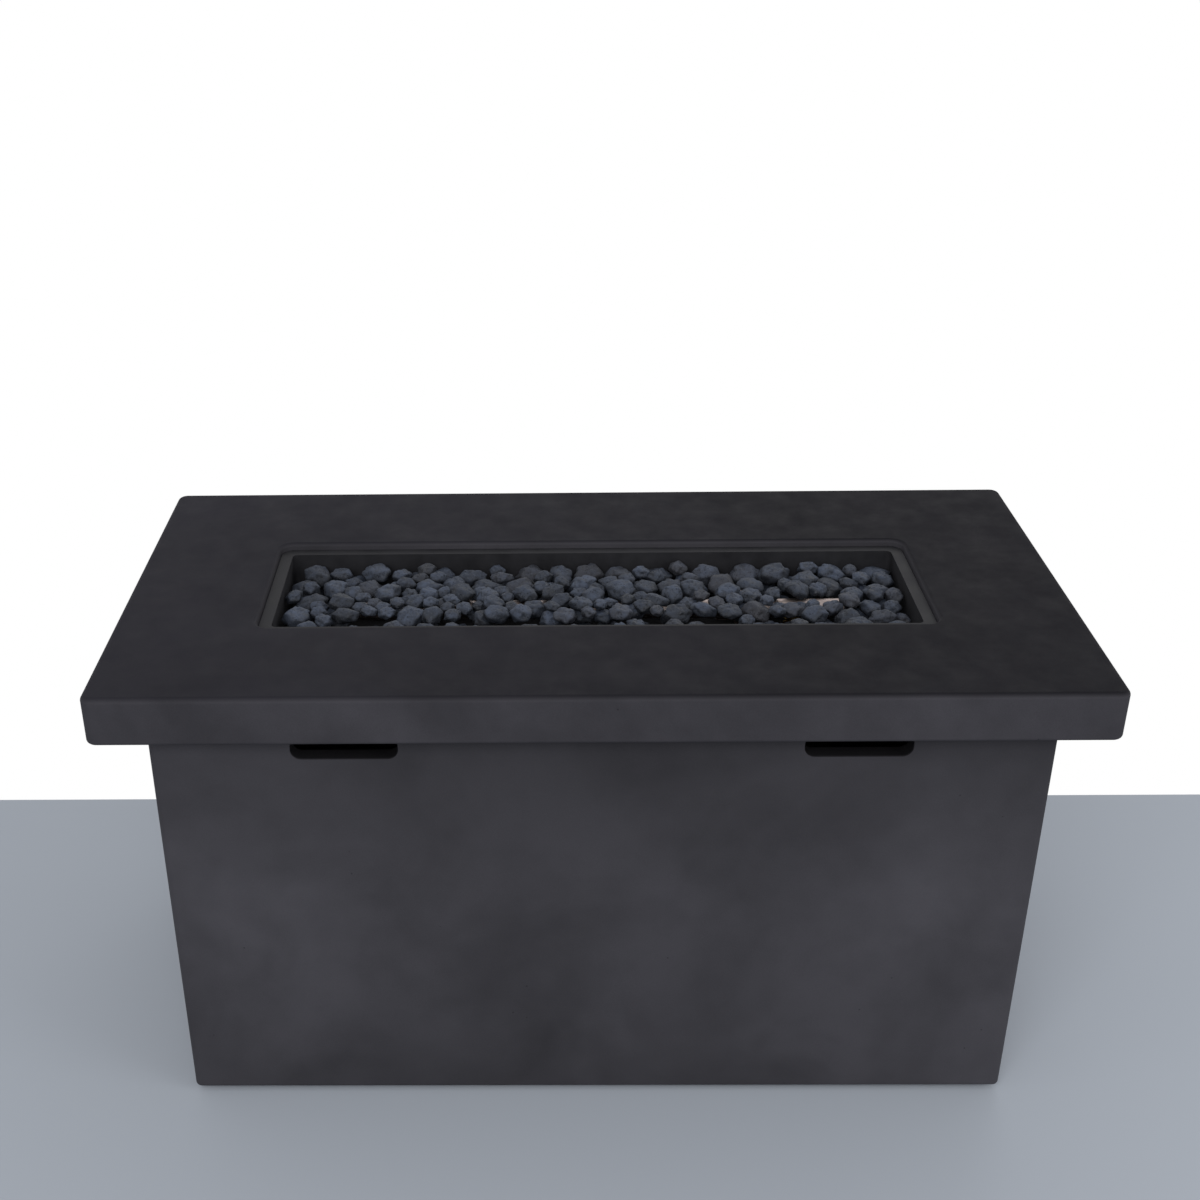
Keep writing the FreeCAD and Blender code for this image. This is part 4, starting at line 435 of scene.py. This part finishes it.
def solids_of(node):
    """For each separate solid of a node, the three corners of its triangles."""
    mesh = frame["nodes"][node].data
    mesh.calc_loop_triangles()
    points = np.array([v.co[:] for v in mesh.vertices])
    shared, index = np.unique(np.round(points, 6), axis=0, return_inverse=True)
    index = index.ravel()
    faces = index[np.array([t.vertices[:] for t in mesh.loop_triangles])]
    leader = list(range(len(shared)))

    def lead(i):
        while leader[i] != i:
            leader[i] = leader[leader[i]]
            i = leader[i]
        return i

    for i, j, k in faces:
        leader[lead(j)] = lead(i)
        leader[lead(k)] = lead(i)
    groups = {}
    for face in faces:
        groups.setdefault(lead(face[0]), []).append(face)
    return [shared[np.array(group)] for group in groups.values()]


def stone_reach(corners, centre, directions, shift):
    """How far a stone reaches from its centre in each direction: its solid, with soft edges and hollows."""
    normals = np.cross(corners[:, 1] - corners[:, 0], corners[:, 2] - corners[:, 0])
    normals /= np.linalg.norm(normals, axis=1)[:, None]
    levels = ((corners[:, 0] - centre) * normals).sum(axis=1)
    normals[levels < 0] *= -1
    lean = np.clip(directions @ normals.T, 0, None) / np.abs(levels)
    reach = STONE_GROWTH * (lean**STONE_ROUNDING).sum(axis=1) ** (-1 / STONE_ROUNDING)
    rough = np.array([noise.fractal(Vector(d) * HOLLOW_SCALE + shift, 1.0, 2.1, 4) for d in directions])
    return reach * (1 + HOLLOW_DEPTH * np.clip(rough, *HOLLOW_RANGE))


def rounded_stones(name, node, steps, chance):
    """One piece with a rounded stone for each solid of a node, each stone with a tone of its own."""
    directions, faces = ball(steps)
    points, triangles, tones = [], [], []
    for corners in solids_of(node):
        centre = corners.reshape(-1, 3).mean(axis=0)
        reach = stone_reach(corners, centre, directions, Vector(chance.uniform(0, 90, 3)))
        triangles.append(faces + len(directions) * len(points))
        points.append(centre + directions * reach[:, None])
        tones.append(np.tile([*chance.uniform(0, 1, 3), 1.0], (len(directions), 1)))
    mesh = bpy.data.meshes.new(name)
    mesh.from_pydata(np.concatenate(points).tolist(), [], np.concatenate(triangles).tolist())
    mesh.polygons.foreach_set("use_smooth", [True] * len(mesh.polygons))
    tone = mesh.color_attributes.new("tone", "FLOAT_COLOR", "POINT")
    tone.data.foreach_set("color", np.concatenate(tones).ravel())
    mesh.materials.append(FINISHES["lava_stone"])
    stones = bpy.data.objects.new(name, mesh)
    bpy.context.collection.objects.link(stones)
    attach(stones, "table")
    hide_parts(node)


stone_chance = np.random.default_rng(STONE_SEED)
rounded_stones("stones_below", "lava_stones_lower", 3, stone_chance)
rounded_stones("stones_on_top", "lava_stones_upper", 4, stone_chance)


# Stage, light and camera

floor_mesh = bpy.data.meshes.new("floor")
floor_corners = [
    (-FLOOR_SIDE, -FLOOR_SIDE, FLOOR_LEVEL), (FLOOR_SIDE, -FLOOR_SIDE, FLOOR_LEVEL),
    (FLOOR_SIDE, FLOOR_BACK, FLOOR_LEVEL), (-FLOOR_SIDE, FLOOR_BACK, FLOOR_LEVEL),
]
floor_mesh.from_pydata(floor_corners, [], [(0, 1, 2, 3)])
floor_mesh.materials.append(plain_stage("floor", FLOOR_COLOUR))
floor = bpy.data.objects.new("floor", floor_mesh)
bpy.context.collection.objects.link(floor)

world = bpy.data.worlds.new("studio")
world.use_nodes = True
sky = world.node_tree
backdrop = sky.nodes["Background"]
path = add(sky, "ShaderNodeLightPath", {})
seen = maths(sky, "MAXIMUM", path.outputs["Is Camera Ray"], path.outputs["Is Glossy Ray"])
seen = maths(sky, "MAXIMUM", seen, path.outputs["Is Transmission Ray"])
backdrop.inputs["Color"].default_value = (1, 1, 1, 1)
sky.links.new(spread(sky, seen, 0.0, 1.0, WORLD_LIGHT, WORLD_SEEN), backdrop.inputs["Strength"])
bpy.context.scene.world = world

for name, (stand, aim, size, watts) in LAMPS.items():
    light = bpy.data.lights.new(name, "AREA")
    light.shape = "RECTANGLE"
    light.size, light.size_y = size
    light.energy = watts
    lamp = bpy.data.objects.new(name, light)
    bpy.context.collection.objects.link(lamp)
    lamp.location = stand
    lamp.rotation_euler = (Vector(aim) - Vector(stand)).to_track_quat("-Z", "Y").to_euler()

turned = Matrix.Rotation(CAMERA_YAW, 3, "Z")
right = turned @ Vector((1, 0, 0))
ahead = turned @ Vector((0, math.cos(CAMERA_PITCH), -math.sin(CAMERA_PITCH)))
above = turned @ Vector((0, math.sin(CAMERA_PITCH), math.cos(CAMERA_PITCH)))
rolled_right = math.cos(CAMERA_ROLL) * right + math.sin(CAMERA_ROLL) * above
rolled_up = math.cos(CAMERA_ROLL) * above - math.sin(CAMERA_ROLL) * right
facing = Matrix((rolled_right, rolled_up, -ahead)).transposed().to_4x4()
camera_data = bpy.data.cameras.new("camera")
camera_data.lens = CAMERA_LENS
camera_data.sensor_width = CAMERA_SENSOR
camera_data.shift_x, camera_data.shift_y = CAMERA_SHIFT
camera = bpy.data.objects.new("camera", camera_data)
bpy.context.collection.objects.link(camera)
camera.matrix_world = Matrix.Translation(CAMERA_PLACE) @ facing
bpy.context.scene.camera = camera
bpy.context.scene.view_settings.view_transform = "Standard"

bpy.context.view_layer.update()
